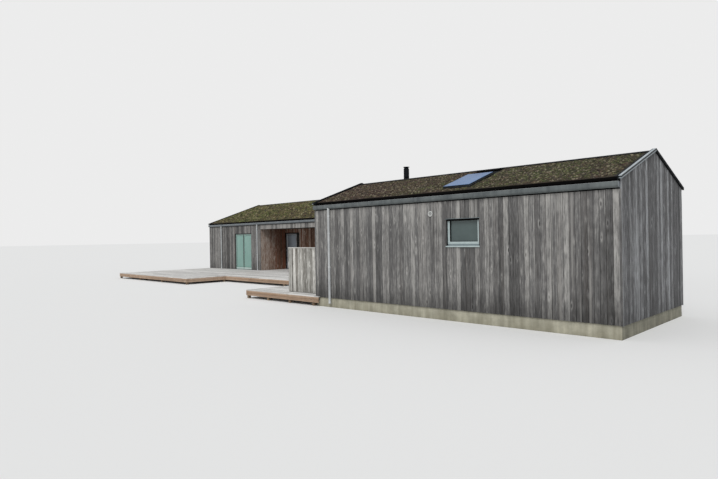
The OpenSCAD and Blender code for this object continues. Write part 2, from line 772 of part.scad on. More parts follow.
module porch_door_frame() color([0.2, 0.21, 0.22]) site() {
    door_frame(porch_x, porch_x + porch_door_w, porch_frame_y);
    box(porch_mullion_x, porch_mullion_x + jamb_w, porch_frame_y, porch_frame_y + jamb_t,
        plinth_h + sill_h, plinth_h + door_h - jamb_w);
    box(porch_mullion_x - stop_w, porch_mullion_x, porch_frame_y + leaf_t + leaf_gap,
        porch_frame_y + jamb_t, plinth_h + sill_h, plinth_h + door_h - jamb_w);
    frame_hinge(porch_hinge_x, porch_frame_y - hinge_out, 1);
}

module porch_leaf() color([0.6, 0.65, 0.67]) site() {
    leaf(porch_leaf_x0, porch_leaf_x1, porch_frame_y);
    leaf_hinge(porch_hinge_x, porch_frame_y - hinge_out, 1);
    lever_handle(porch_leaf_x1 - stile_w / 2, porch_frame_y, -1);
}

module porch_leaf_glass() color([0.6, 0.67, 0.7, 0.7]) site()
    leaf_pane(porch_leaf_x0, porch_leaf_x1, porch_frame_y);

module porch_side_glass() color([0.12, 0.14, 0.15, 0.7]) site()
    box(porch_mullion_x + jamb_w, porch_x + porch_door_w - jamb_w,
        porch_frame_y + leaf_t / 2 - 12, porch_frame_y + leaf_t / 2 + 12, plinth_h + sill_h,
        plinth_h + door_h - jamb_w);

// Flue and vent

module flue() color([0.08, 0.09, 0.1]) site() translate([flue_x, rear_y + flue_in, 0]) {
    flue_top = roof_z(rear_w / 2) + flue_over_ridge;
    neck = 90;
    translate([0, 0, under_z(flue_in)])
        cylinder(d = flue_d, h = flue_top - neck - under_z(flue_in));
    translate([0, 0, flue_top - neck]) cylinder(d = flue_d * 0.7, h = neck - 12);
    translate([0, 0, flue_top - 12]) cylinder(d = flue_d * 1.3, h = 12);
}

// A plate on the roof deck, and a cone that runs up the flue.
module flue_flashing() color([0.2, 0.21, 0.22]) site() difference() {
    union() {
        flue_plate(seat, seat + sheet_t);
        difference() {
            translate([flue_x, rear_y + flue_in, roof_z(flue_in) - flue_cone_h / 2])
                cylinder(r1 = flue_d * 0.85, r2 = flue_d / 2 + sheet_t, h = flue_cone_h * 1.5);
            flue_plate(-2 * flue_cone_h, sheet_t / 2);
        }
    }
    flue_hole(seat);
}

module wall_vent() color([0.68, 0.7, 0.7]) site()
    translate([right_end - vent_from_end, 0, plinth_h + vent_up]) rotate([90, 0, 0]) difference() {
        cylinder(d = vent_d, h = 25);
        translate([0, 0, 10]) cylinder(d = vent_d - 40, h = 16);
    }

// Deck

// The deck's parts as [x0, x1, y0, y1].
deck_edge_y = rear_y - deck_rear_d;
deck_rear = [0, link_x, deck_edge_y, rear_y];
deck_left = [0, deck_left_w, deck_left_y, deck_edge_y];
deck_front = [link_x - deck_front_w, link_x, -deck_front_out, deck_edge_y];
deck_porch = [porch_x, porch_x1, rear_y, rear_y + porch_d];
deck_nose = [link_x, link_x + deck_nose_l, -deck_front_out, 0];

module deck_boards() color([0.72, 0.71, 0.69]) site()
    for (d = [deck_rear, deck_left, deck_front, deck_porch, deck_nose])
        box(d[0], d[1], d[2], d[3], joist_top, deck_z);

// Free edges of the deck as [x0, x1, y0, y1] on the line of the frame's outer face.
module edge_board(x0, x1, y0, y1)
    box(x0, x1, y0, y1, joist_top - fascia_h, joist_top);

module deck_edge_boards() color([0.6, 0.45, 0.33]) site() {
    front_y = -deck_front_out;
    edge_board(deck_front[0], link_x + deck_nose_l, front_y, front_y + deck_t);
    edge_board(deck_front[0], deck_front[0] + deck_t, front_y + deck_t, deck_edge_y);
    edge_board(deck_left_w, deck_front[0] + deck_t, deck_edge_y, deck_edge_y + deck_t);
    edge_board(deck_left_w - deck_t, deck_left_w, deck_left_y, deck_edge_y + deck_t);
    edge_board(deck_t, deck_left_w - deck_t, deck_left_y, deck_left_y + deck_t);
    edge_board(0, deck_t, deck_left_y, rear_y);
}

// Joists run across each part between two beams, behind the edge boards, on posts.
module deck_joists(d, posts) {
    x0 = d[0] + deck_t;
    x1 = d[1] - deck_t;
    y0 = d[2] + deck_t;
    y1 = d[3];
    count = ceil((x1 - x0 - joist_w) / joist_step);
    step = (x1 - x0 - joist_w) / count;
    for (i = [0 : count]) box(x0 + i * step, x0 + i * step + joist_w, y0, y1,
        joist_bottom, joist_top);
    for (y = [y0, y1 - joist_w]) box(x0, x1, y, y + joist_w, joist_bottom, joist_top);
    if (posts) for (i = [0 : 3]) for (y = [y0, y1 - post_w])
        box(x0 + i * (x1 - x0 - post_w) / 3, x0 + i * (x1 - x0 - post_w) / 3 + post_w,
            y, y + post_w, 0, joist_bottom);
}

module deck_frame() color([0.62, 0.47, 0.35]) site() {
    deck_joists(deck_rear, true);
    deck_joists(deck_left, true);
    deck_joists(deck_front, true);
    deck_joists(deck_porch, false);
}

// Screen

screen_t = 21;
module screen() color([0.66, 0.64, 0.6]) site() {
    x0 = link_x - screen_l;
    z0 = deck_z;
    z1 = plinth_h + screen_h;
    for (x = [x0, link_x - post_w]) box(x, x + post_w, screen_y + screen_t,
        screen_y + screen_t + post_w, z0, z1 - deck_t);
    box(x0, link_x, screen_y, screen_y + screen_t, z0 + 20, z1 - deck_t);
    box(x0, link_x, screen_y - 10, screen_y + screen_t + post_w + 10, z1 - deck_t, z1);
}

front_foundation();
rear_foundation();
link_foundation();
floor_boards();
front_wall();
front_back_wall();
front_gables();
rear_front_wall();
wall_headers();
rear_gables();
rear_back_wall();
porch_side_walls();
porch_back_wall();
porch_door_header();
porch_ceiling();
link_walls();
link_roof();
front_roof_south();
front_roof_north();
rear_roof_south();
rear_roof_north();
front_sedum();
rear_sedum();
ridge_caps();
verge_caps();
eave_boards();
gutters();
downpipes();
window_frames();
window_sashes();
window_glass();
window_sills();
skylight_frame();
skylight_glass();
skylight_flashing();
terrace_door_frame();
terrace_leaf_left();
terrace_glass_left();
terrace_leaf_right();
terrace_glass_right();
porch_door_frame();
porch_leaf();
porch_leaf_glass();
porch_side_glass();
flue();
flue_flashing();
wall_vent();
deck_boards();
deck_frame();
deck_edge_boards();
screen();
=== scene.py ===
"""A timber beach house: weathered upright boards, low sedum roofs, zinc edges, glazed doors, a raised deck.

Metres, +Z up, ground at z = 0. Places are given on the site: X from the rear wing's left end, Y from the
front wing's front face. Draft.piece moves them to the frame, whose origin is under the house's middle.
"""

import json
import logging
import math
from collections.abc import Callable, Sequence
from dataclasses import dataclass
from enum import Enum
from typing import Any

import bpy
import numpy as np
from mathutils import Matrix, Vector

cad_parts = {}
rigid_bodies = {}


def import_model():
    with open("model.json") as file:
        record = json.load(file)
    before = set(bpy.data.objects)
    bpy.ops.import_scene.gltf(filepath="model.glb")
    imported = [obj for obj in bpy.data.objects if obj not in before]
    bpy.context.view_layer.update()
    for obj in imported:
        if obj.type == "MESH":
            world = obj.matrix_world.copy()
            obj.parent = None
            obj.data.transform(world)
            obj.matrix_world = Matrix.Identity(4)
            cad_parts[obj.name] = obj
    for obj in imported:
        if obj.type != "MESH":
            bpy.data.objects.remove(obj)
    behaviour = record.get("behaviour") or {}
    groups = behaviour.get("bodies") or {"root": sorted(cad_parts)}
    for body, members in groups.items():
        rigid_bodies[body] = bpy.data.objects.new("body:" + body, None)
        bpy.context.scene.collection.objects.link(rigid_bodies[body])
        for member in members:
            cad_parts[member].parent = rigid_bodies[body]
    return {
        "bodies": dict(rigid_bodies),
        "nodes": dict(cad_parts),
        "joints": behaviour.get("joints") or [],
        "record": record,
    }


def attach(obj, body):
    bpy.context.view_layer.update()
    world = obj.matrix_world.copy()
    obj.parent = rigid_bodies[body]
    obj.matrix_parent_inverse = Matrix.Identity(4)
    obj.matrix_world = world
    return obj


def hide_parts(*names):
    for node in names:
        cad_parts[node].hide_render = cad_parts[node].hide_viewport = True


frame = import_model()

Array = np.ndarray
Ink = tuple[float, float, float, float]
Pair = tuple[float, float]
Area = tuple[float, float, float, float]
Stretch = tuple[float, float | None]
Outline = tuple[Pair, ...]
Socket = bpy.types.NodeSocket
LOG = logging.getLogger("beach_house")
SITE_MIDDLE = np.array([14.0, 7.55, 0.0])
UP = np.array([0.0, 0.0, 1.0])


def ink(red: float, green: float, blue: float) -> Ink:
    """Turns a colour as a screen shows it into a shader's linear colour.

    Args:
        red, green, blue: Parts from 0 to 255.

    Returns:
        The linear colour with full opacity. Formula: ((part + 0.055) / 1.055) to the power 2.4.
    """
    parts = (np.array([red, green, blue]) / 255 + 0.055) / 1.055
    return (*(float(part) for part in parts ** 2.4), 1.0)


def turns(count: int) -> Array:
    """Gives angles spread evenly round a circle."""
    return np.linspace(0, 2 * np.pi, count, endpoint=False)


def spans(start: float, end: float, length: float) -> list[Pair]:
    """Splits a stretch into equal parts that come near a given length."""
    marks = np.linspace(start, end, max(1, round((end - start) / length)) + 1)
    return list(zip(marks[:-1], marks[1:]))


def places(x: Any, y: Any, z: Any) -> Array:
    """Gives places from their X, Y and Z, each a number or an array."""
    return np.stack(np.broadcast_arrays(x, y, z), axis=-1)


def along_x(x: Sequence[float], y: Array, z: Array) -> Array:
    """Gives the rings of an outline in Y and Z that is drawn along X from place to place."""
    return places(np.asarray(x)[:, None], y, z)


def turned(x: float, y: float, profile: Any, around: int) -> Array:
    """Gives the rings of a profile of radii and heights that is turned about an upright axis."""
    profile, angle = np.asarray(profile, float), turns(around)
    return places(x + profile[:, :1] * np.cos(angle), y + profile[:, :1] * np.sin(angle), profile[:, 1:])


@dataclass(frozen=True)
class Wing:
    """One wing: its left end, its front face, its length and its width over the boards."""

    x0: float
    y0: float
    length: float
    width: float

    @property
    def x1(self) -> float:
        """The right end."""
        return self.x0 + self.length

    @property
    def y1(self) -> float:
        """The back face."""
        return self.y0 + self.width

    @property
    def half(self) -> float:
        """The distance from a long wall's face to the ridge."""
        return self.width / 2

    def across(self, side: int, inward: Array | float) -> Array | float:
        """Gives Y at a distance in from a long wall: side 0 counts from the front, side 1 from the back."""
        return self.y0 + inward if side == 0 else self.y1 - inward


@dataclass(frozen=True)
class HouseSizes:
    """The sizes that several sub-assemblies share, as in the part's source."""

    front: Wing = Wing(19.0, 0.0, 9.0, 4.2)
    rear: Wing = Wing(0.0, 7.3, 21.0, 7.8)
    plinth: float = 0.280
    deck_top: float = 0.300
    eave: float = 3.130
    slope: float = math.tan(math.radians(19.0))
    turn: float = math.radians(19.0)
    roof_thick: float = 0.180
    eave_in: float = 0.065
    board_in: float = 0.040
    nose_out: float = 0.060
    verge_out: float = 0.035
    verge_wide: float = 0.085
    gutter_top: float = 3.070
    wall_top: float = 2.925
    wall: float = 0.300
    board: float = 0.022
    board_step: float = 0.125
    board_gap: float = 0.007
    corner: float = 0.045
    reveal: float = 0.040

    def roof(self, inward: Array | float) -> Array | float:
        """Gives the roof deck's top: its edge's height + slope times the distance in from that edge."""
        return self.eave + self.slope * (inward - self.eave_in)

    def under(self, inward: Array | float) -> Array | float:
        """Gives the roof deck's underside, its thickness measured straight down."""
        return self.roof(inward) - self.roof_thick / math.cos(self.turn)

    def inside(self, wing: Wing) -> Pair:
        """Gives the inner faces of a wing's gables."""
        return (wing.x0 + self.wall, wing.x1 - self.wall)


SIZES = HouseSizes()


class Tree:
    """A node tree with short calls that place nodes and join them."""

    def __init__(self, tree: bpy.types.NodeTree) -> None:
        """Keeps the tree."""
        self.tree = tree

    def feed(self, node: bpy.types.Node, feeds: dict[str | int, Any]) -> bpy.types.Node:
        """Gives a node's inputs, by name or number, a value or the socket that feeds them."""
        for key, value in feeds.items():
            if isinstance(value, bpy.types.NodeSocket):
                self.tree.links.new(value, node.inputs[key])
            else:
                node.inputs[key].default_value = value
        return node

    def put(self, kind: str, feeds: dict[str | int, Any] | None = None, **settings: Any) -> bpy.types.Node:
        """Places a node of a kind, with its feeds and its own settings."""
        node = self.tree.nodes.new(kind)
        for key, value in settings.items():
            setattr(node, key, value)
        return self.feed(node, feeds or {})

    def group(self, name: str, feeds: dict[str, Any]) -> bpy.types.Node:
        """Places a shared group."""
        return self.put("ShaderNodeGroup", feeds, node_tree=shared_group(name))

    def mix(self, share: Any, first: Any, second: Any, blend: str = "MIX") -> Socket:
        """Mixes two colours by a share."""
        feeds = {0: share, 6: first, 7: second}
        return self.put("ShaderNodeMix", feeds, data_type="RGBA", blend_type=blend).outputs[2]

    def sum(self, operation: str, first: Any, second: Any = 0.0, clamp: bool = False) -> Socket:
        """Works out one number from two."""
        feeds = {0: first, 1: second}
        return self.put("ShaderNodeMath", feeds, operation=operation, use_clamp=clamp).outputs[0]

    def total(self, *terms: tuple[Any, float], clamp: bool = False) -> Socket:
        """Adds up sockets, each times its share. Only the whole is clamped."""
        made = self.sum("MULTIPLY", *terms[0])
        for number, term in enumerate(terms[1:], 2):
            made = self.sum("ADD", made, self.sum("MULTIPLY", *term), clamp and number == len(terms))
        return made

    def span(self, value: Any, low: float, high: float, start: float = 0.0, end: float = 1.0) -> Socket:
        """Stretches the values from low to high over start to end, and holds them there."""
        feeds = {"Value": value, "From Min": low, "From Max": high, "To Min": start, "To Max": end}
        return self.put("ShaderNodeMapRange", feeds).outputs[0]

    def stretched(self, vector: Any, scale: Any, shift: Any = (0.0, 0.0, 0.0)) -> Socket:
        """Gives vector times scale plus shift."""
        feeds = {0: vector, 1: scale, 2: shift}
        return self.put("ShaderNodeVectorMath", feeds, operation="MULTIPLY_ADD").outputs[0]

    def noise(self, vector: Any, scale: float, detail: float = 2.0, rough: float = 0.5) -> Socket:
        """Gives soft noise from 0 to 1, most of it near the middle."""
        feeds = {"Vector": vector, "Scale": scale, "Detail": detail, "Roughness": rough}
        return self.put("ShaderNodeTexNoise", feeds).outputs[0]

    def cells(self, vector: Any, scale: float) -> Socket:
        """Gives the distance from the nearest of scattered points."""
        return self.put("ShaderNodeTexVoronoi", {"Vector": vector, "Scale": scale}).outputs["Distance"]

    def ramp(self, value: Any, *stops: tuple[float, Ink]) -> Socket:
        """Turns a value into a colour between the stops' places and colours."""
        node = self.put("ShaderNodeValToRGB", {0: value})
        points = node.color_ramp.elements
        while len(points) < len(stops):
            points.new(0.5)
        for point, (place, colour) in zip(points, stops):
            point.position = place
            point.color = colour
        return node.outputs[0]

    def place(self) -> Socket:
        """Gives the point on the object, in metres."""
        return self.put("ShaderNodeTexCoord").outputs["Object"]

    def parts(self, vector: Any) -> Sequence[Socket]:
        """Splits a place into its three parts."""
        return self.put("ShaderNodeSeparateXYZ", {0: vector}).outputs

    def joined(self, *parts: Any) -> Socket:
        """Makes a place of three parts."""
        return self.put("ShaderNodeCombineXYZ", dict(enumerate(parts))).outputs[0]

    def tone(self) -> Socket:
        """Gives the three random numbers that each board or tuft carries."""
        return self.put("ShaderNodeAttribute", attribute_name="tone").outputs["Color"]

    def split(self, colour: Any) -> Sequence[Socket]:
        """Splits a colour into its three parts."""
        return self.put("ShaderNodeSeparateColor", {0: colour}).outputs

    def bump(self, height: Any, strength: float, distance: float) -> Socket:
        """Turns a height into a normal."""
        feeds = {"Strength": strength, "Distance": distance, "Height": height}
        return self.put("ShaderNodeBump", feeds).outputs[0]


def grain_group(tree: Tree, given: bpy.types.Node) -> dict[str, Socket]:
    """Fills the timber grain group. Its grain runs along Z of the place that it is given.

    Args:
        tree: The group's tree.
        given: The group's input node.

    Returns:
        For each output, the socket that feeds it. Each is noise on a place stretched along the grain.
    """
    shift = tree.stretched(given.outputs["Tone"], (31.0, 47.0, 19.0))

    def along(across: float, down: float) -> Socket:
        """Gives the place, stretched across and along the grain and shifted from board to board."""
        return tree.stretched(given.outputs["Place"], (across, across, down), shift)

    streak = tree.span(tree.noise(along(30.0, 0.55), 1.0, 3.0, 0.6), 0.28, 0.72)
    band = tree.span(tree.noise(along(13.0, 0.2), 1.0, 2.0), 0.3, 0.7)
    fibre = tree.span(tree.noise(along(90.0, 3.5), 1.0, 3.0, 0.65), 0.28, 0.72)
    mottle = tree.span(tree.noise(along(24.0, 4.5), 1.0, 4.0, 0.7), 0.3, 0.7)
    cell = tree.cells(along(5.5, 1.7), 1.0)
    knot = tree.span(cell, 0.05, 0.11, 1.0, 0.0)
    halo = tree.sum("SUBTRACT", tree.span(cell, 0.10, 0.24, 1.0, 0.0), knot, clamp=True)
    height = tree.sum("SUBTRACT", tree.sum("ADD", fibre, streak), knot)
    return {"Streak": streak, "Band": band, "Fibre": fibre, "Mottle": mottle, "Knot": knot, "Halo": halo,
            "Height": height}


def weather_and_light_group(tree: Tree, given: bpy.types.Node) -> dict[str, Socket]:
    """Fills the weathering group, as grain_group does: wide blotches, a splashed foot, and a band under the
    head through which finishes paint light or shade.

    Foot and head are worked out from how far a place is above and below the levels given for them.
    """
    place = given.outputs["Place"]
    blotch = tree.span(tree.noise(tree.stretched(place, (0.9, 0.9, 0.6)), 1.0, 4.0, 0.6), 0.3, 0.7)
    height = tree.parts(place)[2]
    ragged = tree.noise(tree.stretched(place, (7.0, 7.0, 0.8)), 1.0, 2.0)
    wave = tree.span(ragged, 0.3, 0.7, -0.18, 0.18)
    low = tree.sum("ADD", tree.sum("SUBTRACT", height, given.outputs["Foot"]), wave)
    high = tree.sum("ADD", tree.sum("SUBTRACT", given.outputs["Head"], height), wave)
    # Shelter: 1 at the head, fading to 0 over 0.8 m below it. Finishes add painted light through it, or
    # painted shade with a negative share.
    return {"Blotch": blotch, "Splash": tree.span(low, 0.0, 0.55, 1.0, 0.0),
            "Shelter": tree.span(high, 0.0, 0.8, 1.0, 0.0)}


def speckle_group(tree: Tree, given: bpy.types.Node) -> dict[str, Socket]:
    """Fills the speckle group, as grain_group does: fine specks, soft mottling and streaks that run down."""
    place = given.outputs["Place"]
    speck = tree.span(tree.noise(place, 85.0, 3.0, 0.7), 0.28, 0.72)
    mottle = tree.span(tree.noise(place, 3.2, 4.0, 0.6), 0.3, 0.7)
    run = tree.span(tree.noise(tree.stretched(place, (11.0, 11.0, 0.7)), 1.0, 3.0), 0.3, 0.7)
    return {"Speck": speck, "Mottle": mottle, "Run": run}


GROUPS: dict[str, tuple[Callable, tuple[tuple[str, str], ...], tuple[str, ...]]] = {
    "timber_grain": (grain_group, (("Place", "Vector"), ("Tone", "Vector")),
                     ("Streak", "Band", "Fibre", "Mottle", "Knot", "Halo", "Height")),
    "weathering_and_head_light": (weather_and_light_group, (("Place", "Vector"), ("Foot", "Float"), ("Head", "Float")),
                   ("Blotch", "Splash", "Shelter")),
    "speckle": (speckle_group, (("Place", "Vector"),), ("Speck", "Mottle", "Run")),
}


def shared_group(name: str) -> bpy.types.NodeTree:
    """Gives a shared group by name, built the first time it is asked for."""
    made = bpy.data.node_groups.get(name)
    if made is not None:
        return made
    fill, inputs, outputs = GROUPS[name]
    made = bpy.data.node_groups.new(name, "ShaderNodeTree")
    for title, kind in inputs:
        made.interface.new_socket(title, in_out="INPUT", socket_type="NodeSocket" + kind)
    for title in outputs:
        made.interface.new_socket(title, in_out="OUTPUT", socket_type="NodeSocketFloat")
    tree = Tree(made)
    given = made.nodes.new("NodeGroupInput")
    result = made.nodes.new("NodeGroupOutput")
    for title, socket in fill(tree, given).items():
        made.links.new(socket, result.inputs[title])
    return made


@dataclass(frozen=True)
class Finish:
    """What every finish has: a name, and a material that is made once."""

    name: str

    def material(self) -> bpy.types.Material:
        """Gives the finish's material."""
        made = bpy.data.materials.get(self.name)
        if made is None:
            made = bpy.data.materials.new(self.name)
            made.use_nodes = True
            tree = Tree(made.node_tree)
            tree.feed(made.node_tree.nodes["Principled BSDF"], self.surface(tree))
        return made

    def surface(self, tree: Tree) -> dict[str, Any]:
        """Gives for each of the shader's inputs a value or the socket that feeds it."""
        raise NotImplementedError


class Grain(Enum):
    """Which way a timber finish's grain runs."""

    UPRIGHT = "upright"
    ALONG_X = "along X"
    LEVEL = "along X or Y"


class ToneFrom(Enum):
    """Where a board's own random numbers come from: the piece, or the place on a CAD node."""

    PIECE = "piece"
    PLACE = "place"


@dataclass(frozen=True)
class TimberFinish(Finish):
    """Sawn timber: three greys or browns, a warmer tint, and how far boards differ."""

    dark: Ink
    middle: Ink
    light: Ink
    warm: Ink
    warmth: float = 0.3
    contrast: float = 1.0
    strips: float = 0.7
    splash: float = 0.25
    # painted_head_light: how much lighter the band under the head is painted, as painted light; a negative
    # share paints shade there.
    painted_head_light: float = 0.2
    foot: float = 0.28
    head: float = 2.95
    run: Grain = Grain.UPRIGHT
    tone_from: ToneFrom = ToneFrom.PIECE
    step: float = 0.12
    roughness: float = 0.8
    relief: float = 0.5
    shine: float = 0.25

    def grain_place(self, tree: Tree) -> Socket:
        """Gives the place turned so that the grain runs along Z."""
        place = tree.place()
        if self.run is Grain.UPRIGHT:
            return place
        x, y, z = tree.parts(place)
        return tree.joined(y, z, x) if self.run is Grain.ALONG_X else tree.joined(z, z, tree.sum("ADD", x, y))

    def board_tone(self, tree: Tree, place: Socket) -> Socket:
        """Gives three random numbers for the board that a point is on."""
        if self.tone_from is ToneFrom.PIECE:
            return tree.tone()
        feeds = {0: place, 1: (self.step, self.step, 4.0)}
        cell = tree.put("ShaderNodeVectorMath", feeds, operation="SNAP").outputs[0]
        return tree.put("ShaderNodeTexWhiteNoise", {"Vector": cell}, noise_dimensions="3D").outputs["Color"]

    def surface(self, tree: Tree) -> dict[str, Any]:
        """Builds timber: the board's tone, streaks and fibres give the grey, a band under the head adds
        painted light or painted shade, then strips, knots and dirt.
        """
        place = self.grain_place(tree)
        tone = self.board_tone(tree, place)
        random = tree.split(tone)
        grain = tree.group("timber_grain", {"Place": place, "Tone": tone}).outputs
        worn_and_lit = tree.group("weathering_and_head_light", {"Place": tree.place(), "Foot": self.foot, "Head": self.head}).outputs
        shares = ((random[0], 0.34), (grain["Streak"], 0.24), (grain["Mottle"], 0.28), (grain["Fibre"], 0.20),
                  (grain["Halo"], 0.22), (worn_and_lit["Blotch"], 0.12))
        shade = tree.total(*((socket, share * self.contrast) for socket, share in shares))
        shade = tree.sum("ADD", shade, 0.5 - 0.58 * self.contrast)
        # Painted light in the band under the head: lighter there, or darker as painted shade where the share
        # is negative.
        shade = tree.sum("ADD", shade, tree.sum("MULTIPLY", worn_and_lit["Shelter"], self.painted_head_light), clamp=True)
        colour = tree.ramp(shade, (0.1, self.dark), (0.5, self.middle), (0.9, self.light))
        warm = tree.sum("MULTIPLY", tree.span(grain["Band"], 0.35, 0.8), random[1])
        colour = tree.mix(tree.sum("MULTIPLY", warm, self.warmth, clamp=True), colour, self.warm)
        strip = tree.span(tree.sum("ADD", grain["Band"], tree.sum("MULTIPLY", random[2], 0.3)), 0.95, 1.1)
        colour = tree.mix(tree.sum("MULTIPLY", strip, self.strips), colour, self.light)
        dirt = tree.total((worn_and_lit["Splash"], self.splash), (grain["Knot"], 0.45), clamp=True)
        colour = tree.mix(dirt, colour, tuple(0.35 * part for part in self.dark[:3]) + (1.0,))
        return {
            "Base Color": colour,
            "Roughness": tree.span(grain["Fibre"], 0.0, 1.0, self.roughness - 0.12, self.roughness + 0.1),
            "Specular IOR Level": self.shine,
            "Normal": tree.bump(grain["Height"], self.relief, 0.004),
        }


@dataclass(frozen=True)
class SedumFinish(Finish):
    """Low succulents: brown, olive and green cushions in patches, with dry specks and painted shade between
    the leaves.

    greener gives the places along X, in the frame, between which the mat turns greener.
    """

    brown: Ink
    olive: Ink
    green: Ink
    dry: Ink
    lean: float = 0.0
    greener: Pair = (50.0, 60.0)

    def surface(self, tree: Tree) -> dict[str, Any]:
        """Builds sedum: patches and each tuft's own number choose its colour, greener towards one end, darker
        between leaves as painted shade.
        """
        place = tree.place()
        along = tree.parts(place)[0]
        random = tree.split(tree.tone())
        wide = tree.span(tree.noise(place, 0.55, 3.0, 0.55), 0.32, 0.68)
        narrow = tree.span(tree.noise(place, 4.5, 3.0, 0.6), 0.3, 0.7)
        leaves = tree.cells(place, 34.0)
        kind = tree.total((wide, 0.32), (narrow, 0.24), (random[0], 0.44))
        kind = tree.sum("ADD", kind, tree.span(along, *self.greener, self.lean, self.lean + 0.17), clamp=True)
        colour = tree.ramp(kind, (0.2, self.brown), (0.48, self.olive), (0.75, self.green))
        shade = tree.sum("ADD", tree.sum("MULTIPLY", random[1], 1.25), 0.30)
        # Painted shade: darker away from each leaf's middle, in the gaps between leaves.
        shade = tree.sum("MULTIPLY", shade, tree.span(leaves, 0.1, 0.75, 1.25, 0.45))
        tint = tree.put("ShaderNodeCombineColor", {0: shade, 1: shade, 2: shade}).outputs[0]
        colour = tree.mix(1.0, colour, tint, "MULTIPLY")
        dry = tree.sum("GREATER_THAN", random[2], 0.88)
        colour = tree.mix(tree.sum("MULTIPLY", dry, 0.65), colour, self.dry)
        return {
            "Base Color": colour,
            "Roughness": tree.span(narrow, 0.0, 1.0, 0.78, 0.95),
            "Specular IOR Level": 0.2,
            "Normal": tree.bump(tree.span(leaves, 0.0, 0.8, 1.0, 0.0), 0.8, 0.008),
        }


@dataclass(frozen=True)
class MetalFinish(Finish):
    """Sheet metal with a dull skin: two tones in cloudy patches, and streaks that run down."""

    dark: Ink
    light: Ink
    metallic: float = 0.4
    roughness: float = 0.45
    shine: float = 0.5

    def surface(self, tree: Tree) -> dict[str, Any]:
        """Builds metal: mottling and streaks give the tone, and make it duller where it is light."""
        speckle = tree.group("speckle", {"Place": tree.place()}).outputs
        tone = tree.total((speckle["Mottle"], 0.5), (speckle["Run"], 0.35), (speckle["Speck"], 0.15))
        return {
            "Base Color": tree.ramp(tone, (0.15, self.dark), (0.85, self.light)),
            "Metallic": self.metallic,
            "Specular IOR Level": self.shine,
            "Roughness": tree.span(tone, 0.0, 1.0, self.roughness - 0.1, self.roughness + 0.12),
            "Normal": tree.bump(speckle["Mottle"], 0.15, 0.003),
        }


@dataclass(frozen=True)
class PaintFinish(Finish):
    """Painted timber, metal or plastic: one colour that fades in patches and is finely uneven."""

    colour: Ink
    faded: Ink
    roughness: float = 0.4
    shine: float = 0.5

    def surface(self, tree: Tree) -> dict[str, Any]:
        """Builds paint: mottling and streaks mix the fresh and the faded colour, specks roughen it."""
        speckle = tree.group("speckle", {"Place": tree.place()}).outputs
        fade = tree.total((speckle["Mottle"], 0.6), (speckle["Run"], 0.4))
        return {
            "Base Color": tree.mix(fade, self.colour, self.faded),
            "Specular IOR Level": self.shine,
            "Roughness": tree.span(speckle["Speck"], 0.0, 1.0, self.roughness - 0.06, self.roughness + 0.1),
            "Normal": tree.bump(speckle["Speck"], 0.08, 0.001),
        }


@dataclass(frozen=True)
class GlassFinish(Finish):
    """Window glass with a tint and a faint cloudy film of a paler colour, partly dust and partly painted
    reflection. paler gives the places along X where it pales: a painted gradient of reflected light.
    """

    colour: Ink
    dust_and_reflection: Ink
    clear: float = 0.5
    roughness: float = 0.04
    shine: float = 0.5
    paler: Pair = (50.0, 60.0)

    def surface(self, tree: Tree) -> dict[str, Any]:
        """Builds glass: a tint that a wide cloudy film, partly painted reflection, makes paler and duller,
        more so towards one side as painted reflection.
        """
        along = tree.parts(tree.place())[0]
        film_and_reflection = tree.span(tree.noise(tree.place(), 1.3, 3.0, 0.55), 0.3, 0.7)
        film_and_reflection = tree.sum("ADD", tree.sum("MULTIPLY", film_and_reflection, 0.5), tree.span(along, *self.paler), clamp=True)
        return {
            "Base Color": tree.mix(film_and_reflection, self.colour, self.dust_and_reflection),
            "Roughness": tree.span(film_and_reflection, 0.0, 1.0, self.roughness, self.roughness + 0.06),
            "Metallic": 0.0,
            "Specular IOR Level": self.shine,
            "Transmission Weight": self.clear,
            "IOR": 1.5,
        }


@dataclass(frozen=True)
class MineralFinish(Finish):
    """Concrete or felt: specks and clouds between two tones, darker and damp at its foot."""

    dark: Ink
    light: Ink
    damp: Ink
    roughness: float = 0.88
    foot: float = 0.0

    def surface(self, tree: Tree) -> dict[str, Any]:
        """Builds a mineral surface: clouds, specks and a ragged damp band above its foot."""
        place = tree.place()
        speckle = tree.group("speckle", {"Place": place}).outputs
        worn_and_lit = tree.group("weathering_and_head_light", {"Place": place, "Foot": self.foot - 0.25, "Head": 9.0}).outputs
        tone = tree.total((speckle["Mottle"], 0.45), (speckle["Speck"], 0.25), (speckle["Run"], 0.3))
        colour = tree.ramp(tone, (0.1, self.dark), (0.8, self.light))
        return {
            "Base Color": tree.mix(tree.sum("MULTIPLY", worn_and_lit["Splash"], 0.7), colour, self.damp),
            "Roughness": tree.span(speckle["Speck"], 0.0, 1.0, self.roughness - 0.1, self.roughness + 0.08),
            "Specular IOR Level": 0.25,
            "Normal": tree.bump(speckle["Speck"], 0.35, 0.003),
        }


